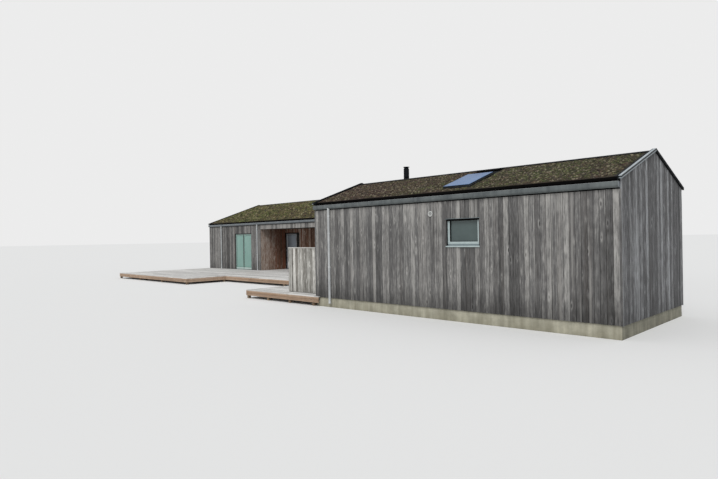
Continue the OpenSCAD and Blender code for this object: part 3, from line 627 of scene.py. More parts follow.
# Its positive painted_head_light paints the boards lighter under the gutters: painted light against the shade
# there.
CLADDING = TimberFinish("weathered_cladding", ink(60, 59, 58), ink(103, 102, 101), ink(164, 162, 158),
                        ink(104, 96, 90), warmth=0.25, contrast=1.3, strips=0.45, splash=0.55, painted_head_light=0.12)
GABLE_CLADDING = TimberFinish("weathered_gable_cladding", ink(50, 50, 51), ink(86, 86, 87),
                              ink(154, 156, 158), ink(96, 92, 88), warmth=0.2, contrast=1.4, strips=0.6,
                              splash=0.3, painted_head_light=0.0)
REAR_CLADDING = TimberFinish("weathered_rear_cladding", ink(54, 53, 53), ink(93, 92, 91),
                             ink(154, 152, 149), ink(104, 92, 82), warmth=0.35, contrast=1.3, strips=0.4,
                             splash=0.3, painted_head_light=0.0)
PORCH_BOARDS = TimberFinish("sheltered_porch_boards", ink(66, 46, 36), ink(116, 90, 74), ink(186, 174, 164),
                            ink(122, 66, 42), warmth=0.9, contrast=1.6, strips=0.1, splash=0.1, painted_head_light=0.0)
# Its negative painted_head_light paints shade on the boards just under the cap.
SCREEN_BOARDS = TimberFinish("silvered_screen_boards", ink(84, 80, 74), ink(150, 148, 142),
                             ink(220, 218, 212), ink(150, 138, 124), contrast=1.6, strips=0.9, head=1.9,
                             painted_head_light=-0.10)
SCREEN_CAP = TimberFinish("silvered_screen_cap", ink(128, 126, 121), ink(176, 174, 169), ink(214, 212, 207),
                          ink(166, 158, 148), warmth=0.2, splash=0.0, painted_head_light=0.0, run=Grain.ALONG_X)
DECK_BOARDS = TimberFinish("silvered_deck_boards", ink(160, 158, 155), ink(198, 197, 194), ink(226, 225, 222),
                           ink(190, 180, 166), warmth=0.2, contrast=1.4, splash=0.0, painted_head_light=0.0, strips=0.3,
                           run=Grain.ALONG_X)
DECK_EDGE = TimberFinish("brown_deck_edge", ink(122, 100, 82), ink(174, 150, 128), ink(208, 188, 168),
                         ink(164, 122, 92), warmth=0.5, splash=0.2, painted_head_light=0.0, foot=0.05, strips=0.2,
                         run=Grain.LEVEL, tone_from=ToneFrom.PLACE)
DECK_TIMBER = TimberFinish("deck_frame_timber", ink(92, 76, 60), ink(132, 114, 94), ink(160, 144, 122),
                           ink(120, 94, 72), splash=0.3, painted_head_light=0.0, foot=0.0, run=Grain.LEVEL,
                           tone_from=ToneFrom.PLACE, step=0.6)
# Near-black boards: the eave boards' own dark colour pushed to black as painted shade above the gutters; also
# painted shade in the window and door reveals.
BLACK_BOARDS_AND_SHADE = TimberFinish("black_boards_and_painted_shade", ink(4, 4, 4), ink(9, 9, 9), ink(20, 19, 19),
                           ink(18, 15, 13), strips=0.1, splash=0.0, painted_head_light=0.0, run=Grain.LEVEL,
                           tone_from=ToneFrom.PLACE, roughness=0.88, shine=0.03)
FLOOR_WOOD = TimberFinish("floor_boards_wood", ink(110, 84, 58), ink(160, 128, 94), ink(186, 156, 120),
                          ink(150, 108, 72), splash=0.0, painted_head_light=0.0, strips=0.2, run=Grain.ALONG_X,
                          tone_from=ToneFrom.PLACE, step=0.14, roughness=0.5)
MEMBRANE = PaintFinish("dark_wall_membrane", ink(16, 16, 16), ink(28, 27, 26), roughness=0.8)
CEILING_BOARDS = TimberFinish("dark_ceiling_boards", ink(34, 30, 28), ink(62, 56, 52), ink(92, 86, 80),
                              ink(70, 52, 40), strips=0.1, splash=0.0, painted_head_light=0.0, run=Grain.ALONG_X)
LINING = PaintFinish("inside_lining", ink(168, 166, 160), ink(180, 178, 172), roughness=0.7)
CONCRETE = MineralFinish("cast_concrete", ink(128, 126, 112), ink(184, 180, 162), ink(112, 108, 90))
# A darker copy of the concrete for the plinths' gable-end faces: painted shade.
SHADED_GABLE_CONCRETE = MineralFinish("shaded_gable_concrete", ink(98, 97, 86), ink(150, 148, 133), ink(88, 85, 72))
ROOFING = MineralFinish("dark_roofing_felt", ink(30, 30, 30), ink(52, 51, 50), ink(38, 38, 36), foot=-9.0)
FRONT_SEDUM = SedumFinish("brown_olive_sedum", ink(82, 64, 56), ink(88, 79, 61), ink(84, 90, 56),
                          ink(138, 130, 110), lean=-0.10, greener=(8.0, 13.0))
REAR_SEDUM = SedumFinish("olive_green_sedum", ink(92, 72, 56), ink(100, 94, 62), ink(96, 101, 58),
                         ink(142, 132, 102), lean=0.04)
ZINC = MetalFinish("dull_zinc", ink(72, 78, 80), ink(106, 112, 112), metallic=0.2)
REAR_ZINC = MetalFinish("paler_rear_zinc", ink(90, 96, 101), ink(124, 130, 134), metallic=0.2)
# Paler than the verge face: the plate's pale zinc is a painted reflection of the sky.
VERGE_REFLECTION_ZINC = MetalFinish("verge_zinc_painted_sky_reflection", ink(138, 148, 154), ink(176, 184, 188), metallic=0.15)
VERGE_FACE = MetalFinish("grey_verge_face_zinc", ink(108, 116, 121), ink(138, 146, 150), metallic=0.1)
PIPE_ZINC = MetalFinish("pale_pipe_zinc", ink(160, 163, 164), ink(196, 198, 198), metallic=0.1)
DARK_METAL = MetalFinish("dark_coated_metal", ink(30, 33, 35), ink(50, 54, 57), metallic=0.1, roughness=0.6,
                         shine=0.25)
# Black metal of the ridge caps; also painted shade on the verge caps' back slopes, left plates and upstands.
BLACK_METAL_AND_SHADE = MetalFinish("black_metal_and_painted_shade", ink(10, 12, 13), ink(24, 27, 29), metallic=0.0, roughness=0.8,
                          shine=0.1)
# Black felt strips at the verges beside the mat, also painted shadow in the gap between sedum and verge cap.
VERGE_FELT_AND_SHADE = MineralFinish("black_verge_felt_and_painted_shade", ink(10, 10, 10), ink(26, 25, 24), ink(18, 18, 17), foot=-9.0)
FLUE_STEEL = MetalFinish("black_flue_steel", ink(8, 10, 14), ink(18, 22, 28), metallic=0.0, roughness=0.75,
                         shine=0.1)
HINGE_STEEL = MetalFinish("brushed_hinge_steel", ink(130, 134, 138), ink(172, 176, 180), metallic=0.8)
WINDOW_PAINT = PaintFinish("pale_green_grey_paint", ink(162, 176, 177), ink(182, 194, 193))
# Grey on the window frames' foot members and drip strips: painted shade.
FOOT_SHADE_PAINT = PaintFinish("frame_foot_painted_shade", ink(104, 118, 122), ink(122, 134, 137))
DOOR_PAINT = PaintFinish("mint_door_paint", ink(116, 146, 138), ink(130, 156, 148))
PALE_PAINT = PaintFinish("pale_door_foot_paint", ink(166, 186, 180), ink(182, 198, 193))
# The terrace door frame's darker grey: painted shade on its head and jambs.
FRAME_SHADE_PAINT = PaintFinish("grey_door_frame_painted_shade", ink(74, 84, 82), ink(92, 100, 98))
PORCH_LEAF = MetalFinish("pale_porch_leaf_metal", ink(178, 186, 192), ink(204, 210, 214), metallic=0.6,
                         roughness=0.3)
DARK_PAINT = PaintFinish("dark_frame_paint", ink(40, 39, 38), ink(54, 53, 51), shine=0.2)
VENT_PLASTIC = PaintFinish("pale_vent_plastic", ink(186, 188, 186), ink(204, 205, 202), roughness=0.5)
GASKET = PaintFinish("black_gasket_rubber", ink(8, 9, 10), ink(18, 19, 20), roughness=0.7, shine=0.1)
WINDOW_GLASS = GlassFinish("dark_teal_window_glass", ink(68, 82, 82), ink(108, 124, 121), clear=0.2,
                           paler=(8.55, 7.70))
DOOR_GLASS = GlassFinish("mint_door_glass", ink(128, 168, 158), ink(146, 180, 170), clear=0.15)
# Opaque pale glass that pales towards the right: painted reflection.
PORCH_REFLECTION_GLASS = GlassFinish("porch_glass_painted_reflection", ink(104, 110, 116), ink(160, 170, 180), clear=0.0,
                          roughness=0.1, paler=(-8.10, -7.60))
SIDE_GLASS = GlassFinish("dark_side_glass", ink(46, 48, 48), ink(66, 68, 68), clear=0.2)
# Opaque blue roof glass with little shine: a painted reflection of the sky.
SKY_REFLECTION_GLASS = GlassFinish("roof_glass_painted_sky_reflection", ink(56, 92, 138), ink(108, 140, 180), clear=0.0, shine=0.04,
                        roughness=0.2)


def chamfer_template() -> tuple[Array, Array, Array, Array]:
    """Works out how a box with cut edges is joined up.

    Returns:
        For each of 24 points its corner, as 0 or 1 along each axis, and the axes along which it's cut back,
        then 18 faces of four points and 8 of three. Point 3 c + a is the one that corner c gives to the
        face across axis a. Each face is turned to look away from the middle.
    """
    quads, tris = [], [[3 * corner, 3 * corner + 1, 3 * corner + 2] for corner in range(8)]
    for a in range(3):
        b, c = (a + 1) % 3, (a + 2) % 3
        for side in range(2):
            loop = [(side << a) | (i << b) | (j << c) for i, j in ((0, 0), (1, 0), (1, 1), (0, 1))]
            quads.append([3 * corner + a for corner in loop])
        for i in range(2):
            for j in range(2):
                first = (i << a) | (j << b)
                second = first | (1 << c)
                quads.append([3 * first + a, 3 * second + a, 3 * second + b, 3 * first + b])
    corners = np.array([[float((corner >> axis) & 1) for axis in range(3)] for corner in range(8)])
    corners = np.repeat(corners, 3, axis=0)
    free = np.tile(~np.eye(3, dtype=bool), (8, 1))
    points = corners + (1 - 2 * corners) * np.where(free, 0.2, 0.0) - 0.5

    def outward(face: list[int]) -> list[int]:
        """Turns a face round if it looks inward."""
        p = points[face]
        looks = np.dot(np.cross(p[1] - p[0], p[2] - p[0]), p.mean(0))
        return face if looks > 0 else face[::-1]

    return corners, free, np.array([outward(q) for q in quads]), np.array([outward(t) for t in tris])


BOX_CORNERS, BOX_FREE, BOX_QUADS, BOX_TRIS = chamfer_template()



def value_noise(x: Array, y: Array, cell: float, seed: int) -> Array:
    """Gives smooth noise from 0 to 1 over a plane.

    Args:
        x, y: Places, of one shape.
        cell: Size of the square lattice whose corners hold random numbers.
        seed: Seed of those numbers.

    Returns:
        The corners' numbers, mixed by the eased distance from each: 3 t squared minus 2 t cubed.
    """
    table = np.random.default_rng(seed).random((256, 256))
    gx, gy = x / cell, y / cell
    ix, iy = np.floor(gx).astype(int), np.floor(gy).astype(int)
    tx, ty = gx - ix, gy - iy
    tx, ty = tx * tx * (3 - 2 * tx), ty * ty * (3 - 2 * ty)

    def row(j: int) -> Array:
        """Mixes the numbers of the corners at both sides."""
        left, right = table[ix % 256, (iy + j) % 256], table[(ix + 1) % 256, (iy + j) % 256]
        return left * (1 - tx) + right * tx

    return row(0) * (1 - ty) + row(1) * ty


def shown(name: str, data: Any) -> bpy.types.Object:
    """Makes an object of its data and puts it in the scene."""
    made = bpy.data.objects.new(name, data)
    bpy.context.scene.collection.objects.link(made)
    return made


class Draft:
    """Points, faces, tones and finish numbers of one piece, gathered as whole arrays."""

    def __init__(self, seed: int) -> None:
        """Starts empty, with its own seeded random numbers."""
        self.random = np.random.default_rng(seed)
        self.points: list[Array] = []
        self.faces: list[Array] = []
        self.tones: list[Array] = []
        self.numbers: list[Array] = []
        self.soft: list[Array] = []
        self.count = 0

    def add(self, points: Array, faces: Array, tones: Array | None = None, number: int = 0,
            soft: bool = False) -> None:
        """Adds points and faces that all have as many corners.

        Args:
            points: Places on the site, one row each.
            faces: Rows of point numbers.
            tones: Three random numbers for each face, or None for middling ones.
            number: Number of the finish.
            soft: Whether the faces are shaded smooth.
        """
        faces = np.asarray(faces)
        made = np.full((len(faces), 3), 0.5) if tones is None else np.asarray(tones)
        self.points.append(np.asarray(points, float).reshape(-1, 3))
        self.faces.append(faces + self.count)
        self.tones.append(made)
        self.numbers.append(np.full(len(faces), number))
        self.soft.append(np.full(len(faces), soft))
        self.count += len(self.points[-1])

    def extra(self, faces: Array, base: int, tones: Array | None = None, number: int = 0,
              soft: bool = False) -> None:
        """Adds more faces on points that are there already, from point number base on."""
        keep = self.count
        self.count = base
        self.add(np.zeros((0, 3)), faces, tones, number, soft)
        self.count = keep

    def boxes(self, low: Array, high: Array, cut: float = 0.003, tones: Array | None = None,
              number: int = 0, turn: Callable[[Array], Array] | None = None) -> None:
        """Adds boxes with cut edges.

        Args:
            low, high: Opposite corners, one row for each box.
            cut: How far each edge is cut back.
            tones: Three random numbers for each box, or None to draw them.
            number: Number of the finish.
            turn: Takes the boxes' points to the site, where they aren't there already.
        """
        low, high = np.atleast_2d(low).astype(float), np.atleast_2d(high).astype(float)
        low, high = np.minimum(low, high), np.maximum(low, high)
        size = (high - low)[:, None]
        cuts = (1 - 2 * BOX_CORNERS) * np.minimum(np.where(BOX_FREE, cut, 0.0), 0.45 * size)
        points = (low[:, None] + BOX_CORNERS * size + cuts).reshape(-1, 3)
        if turn is not None:
            points = turn(points)
        tones = self.random.random((len(low), 3)) if tones is None else np.atleast_2d(tones)
        base = self.count
        offsets = 24 * np.arange(len(low))[:, None, None]
        self.add(points, (BOX_QUADS[None] + offsets).reshape(-1, 4), np.repeat(tones, 18, axis=0), number)
        self.extra((BOX_TRIS[None] + offsets).reshape(-1, 3), base, np.repeat(tones, 8, axis=0), number)

    def loft(self, rings: Array, tones: Array | None = None, number: int = 0, soft: bool = False,
             closed: bool = False) -> None:
        """Joins closed rings of points into a skin, with a cap on each end.

        Args:
            rings: Rings, points and coordinates, as an array of three dimensions.
            tones: Three random numbers for the whole skin.
            number: Number of the finish.
            soft: Whether the skin is shaded smooth.
            closed: Whether the last ring joins the first, so that there are no caps.
        """
        rows, around = rings.shape[:2]
        steps = rows if closed else rows - 1
        i, k = np.meshgrid(np.arange(steps), np.arange(around), indexing="ij")
        after, beside = (i + 1) % rows, (k + 1) % around
        quads = np.stack([i * around + k, i * around + beside, after * around + beside,
                          after * around + k], axis=-1).reshape(-1, 4)
        points = rings.reshape(-1, 3)
        corners = points[quads] - points.mean(0)
        volume = np.einsum("ij,ij->i", corners[:, 0], np.cross(corners[:, 1], corners[:, 2])).sum()
        volume += np.einsum("ij,ij->i", corners[:, 0], np.cross(corners[:, 2], corners[:, 3])).sum()
        if volume < 0:
            quads = quads[:, ::-1]
        tone = self.random.random(3) if tones is None else np.asarray(tones)
        base = self.count
        self.add(points, quads, np.tile(tone, (len(quads), 1)), number, soft)
        if closed:
            return
        first = np.arange(around)[None]
        last = first + (rows - 1) * around
        caps = (first[:, ::-1], last) if volume >= 0 else (first, last[:, ::-1])
        for cap in caps:
            self.extra(cap, base, tone[None], number)

    def piece(self, name: str, slot: str, finishes: Sequence[Finish], nodes: Sequence[str] = (),
              body: str = "house") -> bpy.types.Object:
        """Makes the mesh object, with its place in its mesh.

        Args:
            name: Name of the piece.
            slot: The record's material slot. Not used.
            finishes: Its finishes, in the order of their numbers.
            nodes: CAD nodes that it stands for.
            body: The body that it rides on.

        Returns:
            The object.
        """
        points = (np.concatenate(self.points) - SITE_MIDDLE).astype(np.float32)
        counts = np.concatenate([np.full(len(faces), faces.shape[1]) for faces in self.faces])
        corners = np.concatenate([faces.ravel() for faces in self.faces]).astype(np.int32)
        starts = np.concatenate([[0], np.cumsum(counts)[:-1]]).astype(np.int32)
        mesh = bpy.data.meshes.new(name)
        mesh.vertices.add(len(points))
        mesh.vertices.foreach_set("co", points.ravel())
        mesh.loops.add(len(corners))
        mesh.loops.foreach_set("vertex_index", corners)
        mesh.polygons.add(len(starts))
        mesh.polygons.foreach_set("loop_start", starts)
        for finish in finishes:
            mesh.materials.append(finish.material())
        mesh.polygons.foreach_set("material_index", np.concatenate(self.numbers).astype(np.int32))
        mesh.polygons.foreach_set("use_smooth", np.concatenate(self.soft))
        mesh.update(calc_edges=True)
        tones = np.concatenate([np.concatenate(self.tones), np.ones((len(counts), 1))], axis=1)
        tone = mesh.attributes.new("tone", "FLOAT_COLOR", "CORNER")
        tone.data.foreach_set("color", np.repeat(tones, counts, axis=0).astype(np.float32).ravel())
        mesh.validate()
        made = shown(name, mesh)
        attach(made, body)
        if nodes:
            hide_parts(*nodes)
        LOG.info("%s: %d faces", name, len(counts))
        return made


def lay_row(draft: Draft, cuts: Array, row: Pair, z: tuple[float, Any], gap: Pair, cut: float) -> None:
    """Adds a row of boards along X.

    Args:
        draft: The piece.
        cuts: The places along X where one board ends and the next begins.
        row: The row's sides.
        z: The boards' undersides and tops.
        gap: How far each board stops before its ends and before its sides.
        cut: How far each edge is cut back.
    """
    draft.boxes(places(cuts[:-1] + gap[0], row[0] + gap[1], z[0]),
                places(cuts[1:] - gap[0], row[1] - gap[1], z[1]), cut)


def dress(finish: Finish, *nodes: str) -> None:
    """Gives CAD nodes a finish through their own material slots."""
    for node in nodes:
        for held in frame["nodes"][node].material_slots:
            held.material = finish.material()
        LOG.info("%s: %s", node, finish.name)


@dataclass(frozen=True)
class Facing:
    """An upright plane seen from outside: s runs to the right, out runs outward, z runs up."""

    left: tuple[float, float]
    outward: tuple[float, float]

    def to_site(self, s: Array, out: Array, z: Array) -> Array:
        """Takes places on the plane to the site: left end + s along + out outward + z up."""
        outward = np.array([*self.outward, 0.0])
        along = np.cross(UP, outward)
        start = np.array([*self.left, 0.0])
        s, out, z = np.broadcast_arrays(s, out, z)
        return start + s[..., None] * along + out[..., None] * outward + z[..., None] * UP

    def ring(self, draft: Draft, s: Pair, z: Pair, sides: Any, low: Any = None, high: Any = None,
             number: int = 0) -> None:
        """Adds a frame with mitred corners.

        Args:
            draft: The piece.
            s, z: The frame's outer sides, foot and head.
            sides: Profile of its upright members, as places in from the edge and outward.
            low, high: Profiles of its foot and head, or None where they are as the sides.
            number: Number of the finish.
        """
        sides = np.asarray(sides, float)
        low = sides if low is None else np.asarray(low, float)
        high = sides if high is None else np.asarray(high, float)
        left, right = s[0] + sides[:, 0], s[1] - sides[:, 0]
        foot, head = z[0] + low[:, 0], z[1] - high[:, 0]
        corners = ((left, foot), (right, foot), (right, head), (left, head))
        rings = np.stack([self.to_site(at, sides[:, 1], up) for at, up in corners])
        draft.loft(rings, number=number, closed=True)

    def bar(self, draft: Draft, s: Pair, profile: Any, number: int = 0) -> None:
        """Adds a level bar: its profile, as places outward and up, drawn from one s to another."""
        profile = np.asarray(profile, float)
        draft.loft(np.stack([self.to_site(at, profile[:, 0], profile[:, 1]) for at in s]), number=number)

    def block(self, draft: Draft, s: Pair, out: Pair, z: Pair, cut: float = 0.002, number: int = 0) -> None:
        """Adds a block with cut edges."""
        draft.boxes([s[0], -out[0], z[0]], [s[1], -out[1], z[1]], cut, number=number,
                    turn=lambda points: self.to_site(points[:, 0], -points[:, 1], points[:, 2]))

    def disc(self, draft: Draft, s: float, z: float, profile: Any, around: int = 24, number: int = 0,
             closed: bool = False) -> None:
        """Adds a turned shape that faces outward, from a profile of radii and places outward."""
        profile, angle = np.asarray(profile, float), turns(around)
        across, reach = profile[:, :1] * np.cos(angle), profile[:, :1] * np.sin(angle)
        rings = self.to_site(s + across, profile[:, 1:], z + reach)
        draft.loft(rings, number=number, soft=True, closed=closed)

    def barrel(self, draft: Draft, s: float, out: float, z: Pair, radius: float, number: int = 0) -> None:
        """Adds an upright round pin or barrel with softened ends."""
        soft, end = 0.15 * radius, 0.8 * radius
        rings = turned(s, out, [(end, z[0]), (radius, z[0] + soft), (radius, z[1] - soft), (end, z[1])], 16)
        draft.loft(self.to_site(*np.moveaxis(rings, -1, 0)), number=number, soft=True)


@dataclass(frozen=True)
class WallFace(Facing):
    """An upright face of boards."""

    length: float
    foot: float = 0.280
    head: float = SIZES.wall_top
    gable: bool = False
    paler_from: float = 9.0
    openings: tuple[Area, ...] = ()
    corners: tuple[bool, bool] = (False, False)
    cut: float = 0.003
    uneven: float = 0.004
    wander: float = 0.009
    over: float = 0.028
    batten_up: float = 0.038

    def top(self, s: Array) -> Array | float:
        """Gives the face's upper edge: level, or under the verge caps on both slopes of a gable."""
        return SIZES.roof(np.minimum(s, self.length - s)) + self.over if self.gable else self.head

    def bays(self, start: float, end: float) -> list[tuple[float, float, list[Stretch]]]:
        """Splits the face at its openings' sides and at the ridge.

        Args:
            start, end: Where the boards begin and end.

        Returns:
            For each bay, its sides and its stretches from a foot to a head, None where that is the top.
        """
        marks = {start, end}
        for s0, s1, _, _ in self.openings:
            marks |= {s0, s1}
        if self.gable:
            marks.add(self.length / 2)
        places = sorted(mark for mark in marks if start <= mark <= end)
        made = []
        for a, b in zip(places, places[1:]):
            stretches: list[Stretch] = []
            low = self.foot
            for s0, s1, z0, z1 in sorted(self.openings, key=lambda o: o[2]):
                if s0 - 1e-6 <= a and b <= s1 + 1e-6:
                    if z0 > low:
                        stretches.append((low, z0))
                    low = z1
            stretches.append((low, None))
            made.append((a, b, stretches))
        return made

    def upright(self, draft: Draft, edges: Array, low: float, high: float | None, near: Array, depth: float,
                cut: float, tones: Any) -> None:
        """Adds boards side by side, with their front edges cut back.

        Args:
            draft: The piece.
            edges: Left and right side of each board.
            low, high: Foot and head, or None for the face's upper edge.
            near: How far each board's face stands in from the face.
            depth: How far in each board reaches.
            cut: How far its two front edges are cut back.
            tones: Three random numbers for each board.
        """
        s0, s1 = edges[:, 0], edges[:, 1]
        back = np.full_like(s0, -depth)
        s = np.stack([s0, s0 + cut, s1 - cut, s1, s1, s0], axis=1)
        out = np.stack([-near - cut, -near, -near, -near - cut, back, back], axis=1)
        top = np.broadcast_to(self.top(s) if high is None else high, s.shape)
        z = np.stack([np.full_like(s, low), top], axis=1)
        points = self.to_site(np.stack([s, s], axis=1), np.stack([out, out], axis=1), z)
        k = np.arange(6)
        side = np.stack([k, (k + 1) % 6, (k + 1) % 6 + 6, k + 6], axis=1)
        caps = np.stack([k[::-1], k + 6])
        shift = 12 * np.arange(len(s0))[:, None, None]
        base = draft.count
        draft.add(points.reshape(-1, 3), (side[None] + shift).reshape(-1, 4), np.repeat(tones, 6, 0))
        draft.extra((caps[None] + shift).reshape(-1, 6), base, np.repeat(tones, 2, 0))

    def build(self, draft: Draft, grade: Pair | None = None) -> None:
        """Adds the face's boards, of several widths and a little out of line, and its corner battens.

        Args:
            draft: The piece.
            grade: How light and grey its first and last boards are, or None where they vary freely. Its
                lightness is painted light and shade.
        """
        start = SIZES.corner if self.corners[0] else 0.0
        end = self.length - (SIZES.corner if self.corners[1] else 0.0)
        for a, b, stretches in self.bays(start, end):
            count = max(1, round((b - a) / SIZES.board_step))
            marks = np.linspace(a, b, count + 1)
            marks[1:-1] += draft.random.uniform(-self.wander, self.wander, count - 1)
            edges = np.stack([marks[:-1] + SIZES.board_gap / 2, marks[1:] - SIZES.board_gap / 2], axis=1)
            near = draft.random.uniform(0.0, self.uneven, count)
            for low, high in stretches:
                tones = draft.random.random((count, 3))
                if grade is not None:
                    grey = grade[0] + (grade[1] - grade[0]) * marks[:-1] / self.length
                    tones[:, 0] = 0.75 * grey + 0.25 * tones[:, 0]
                    tones[:, 1] = 1.0 - grey
                if low > self.paler_from:
                    tones[:, 0] = 0.30 + 1.6 * tones[:, 0]
                self.upright(draft, edges, low, high, near, SIZES.board, self.cut, tones)
        for right, present in enumerate(self.corners):
            if present:
                self.battens(draft, self.length - SIZES.corner if right else 0.0)

    def battens(self, draft: Draft, edge: float) -> None:
        """Adds a corner batten, 1 mm proud, and on a gable a thinner one that runs on up to the verge."""
        tone = [[0.9, 0.1, 0.6]] if self.gable else [[0.30, 0.3, 0.2]]
        near, sides = np.array([-0.001]), np.array([[edge, edge + SIZES.corner]])
        self.upright(draft, sides, self.foot - 0.006, SIZES.wall_top, near, SIZES.corner, 0.004, tone)
        if self.gable:
            edge = max(edge, SIZES.corner - self.batten_up)
            sides = np.array([[edge, edge + self.batten_up]])
            self.upright(draft, sides, SIZES.wall_top, None, near, SIZES.board, self.cut, tone)


@dataclass(frozen=True)
class Core:
    """The walls behind their boards: a dark core as finish 1, and a pale lining inside as finish 2."""

    draft: Draft
    behind: float = 0.024
    lining: float = 0.012
    joint: float = 0.0002
    gap: float = 0.001
    clear: float = 0.002

    def under(self, inward: float) -> float:
        """Gives how high a wall reaches, just under the roof deck."""
        return SIZES.under(inward) - self.clear

    def strip(self, wing: Wing, side: int, x: Pair, inward: Pair, foot: float, head: float | None,
              number: int) -> None:
        """Adds a stretch of a long wall.

        Args:
            wing, side: The wing, and which long wall.
            x: Its ends.
            inward: Its outer and inner face, as distances in from the wall's face.
            foot, head: Its heights. None runs it up under the gutter, and on up to the roof.
            number: Number of the finish.
        """
        (near, far), eave = inward, SIZES.board_in
        if head is not None:
            upper = [(far, head), (near, head)]
        elif near < eave:
            upper = [(far, self.under(far)), (eave, self.under(eave)), (eave, SIZES.wall_top),
                     (near, SIZES.wall_top)]
        else:
            upper = [(far, self.under(far)), (near, self.under(near))]
        across, height = np.array([(near, foot), (far, foot), *upper]).T
        ends = (x[0] + self.joint, x[1] - self.joint)
        self.draft.loft(along_x(ends, wing.across(side, across), height), number=number)

    def wall(self, wing: Wing, side: int, x: Pair, foot: float = SIZES.plinth, head: float | None = None,
             inward: Pair = (0.024, SIZES.wall), holes: Sequence[Area] = ()) -> None:
        """Adds a long wall's core and lining, left out at its holes, each given by its sides and heights."""
        start = x[0]
        stretches: list[tuple[float, float, float, float | None]] = []
        for x0, x1, z0, z1 in sorted(holes):
            stretches.append((start, x0, foot, head))
            if z0 > foot:
                stretches.append((x0, x1, foot, z0))
            stretches.append((x0, x1, z1, head))
            start = x1
        stretches.append((start, x[1], foot, head))
        for x0, x1, low, high in stretches:
            inner = inward[1] - self.lining
            self.strip(wing, side, (x0, x1), (inward[0], inner - self.gap), low, high, 1)
            self.strip(wing, side, (x0, x1), (inner, inward[1]), low, high, 2)

    def gable(self, wing: Wing, right: bool) -> None:
        """Adds a gable's core and lining, up to the underside of both slopes."""
        eave = SIZES.board_in
        edge = np.array([(self.behind, SIZES.wall_top), (eave, SIZES.wall_top), (eave, self.under(eave)),
                         (wing.half, self.under(wing.half))])
        left, right_half = edge[::-1], edge[:-1]
        y = np.concatenate([wing.y0 + left[:, 0], [wing.y0 + self.behind, wing.y1 - self.behind],
                            wing.y1 - right_half[:, 0]])
        z = np.concatenate([left[:, 1], [SIZES.plinth, SIZES.plinth], right_half[:, 1]])
        face, inward = (wing.x1, -1) if right else (wing.x0, 1)
        inner = SIZES.wall - self.lining
        for near, far, number in ((self.behind, inner - self.gap, 1), (inner, SIZES.wall, 2)):
            self.draft.loft(along_x((face + inward * near, face + inward * far), y, z), number=number)

    def cross(self, core: Pair, lining: Pair, y: Pair, head: float | None = None) -> None:
        """Adds a wall along Y, up to a head or the roof. Its core and lining are given by their places."""
        inward = (y[0] - SIZES.rear.y0, y[1] - SIZES.rear.y0)
        for number, x in enumerate((core, lining), 1):
            self.strip(SIZES.rear, 0, x, inward, SIZES.plinth, head, number)


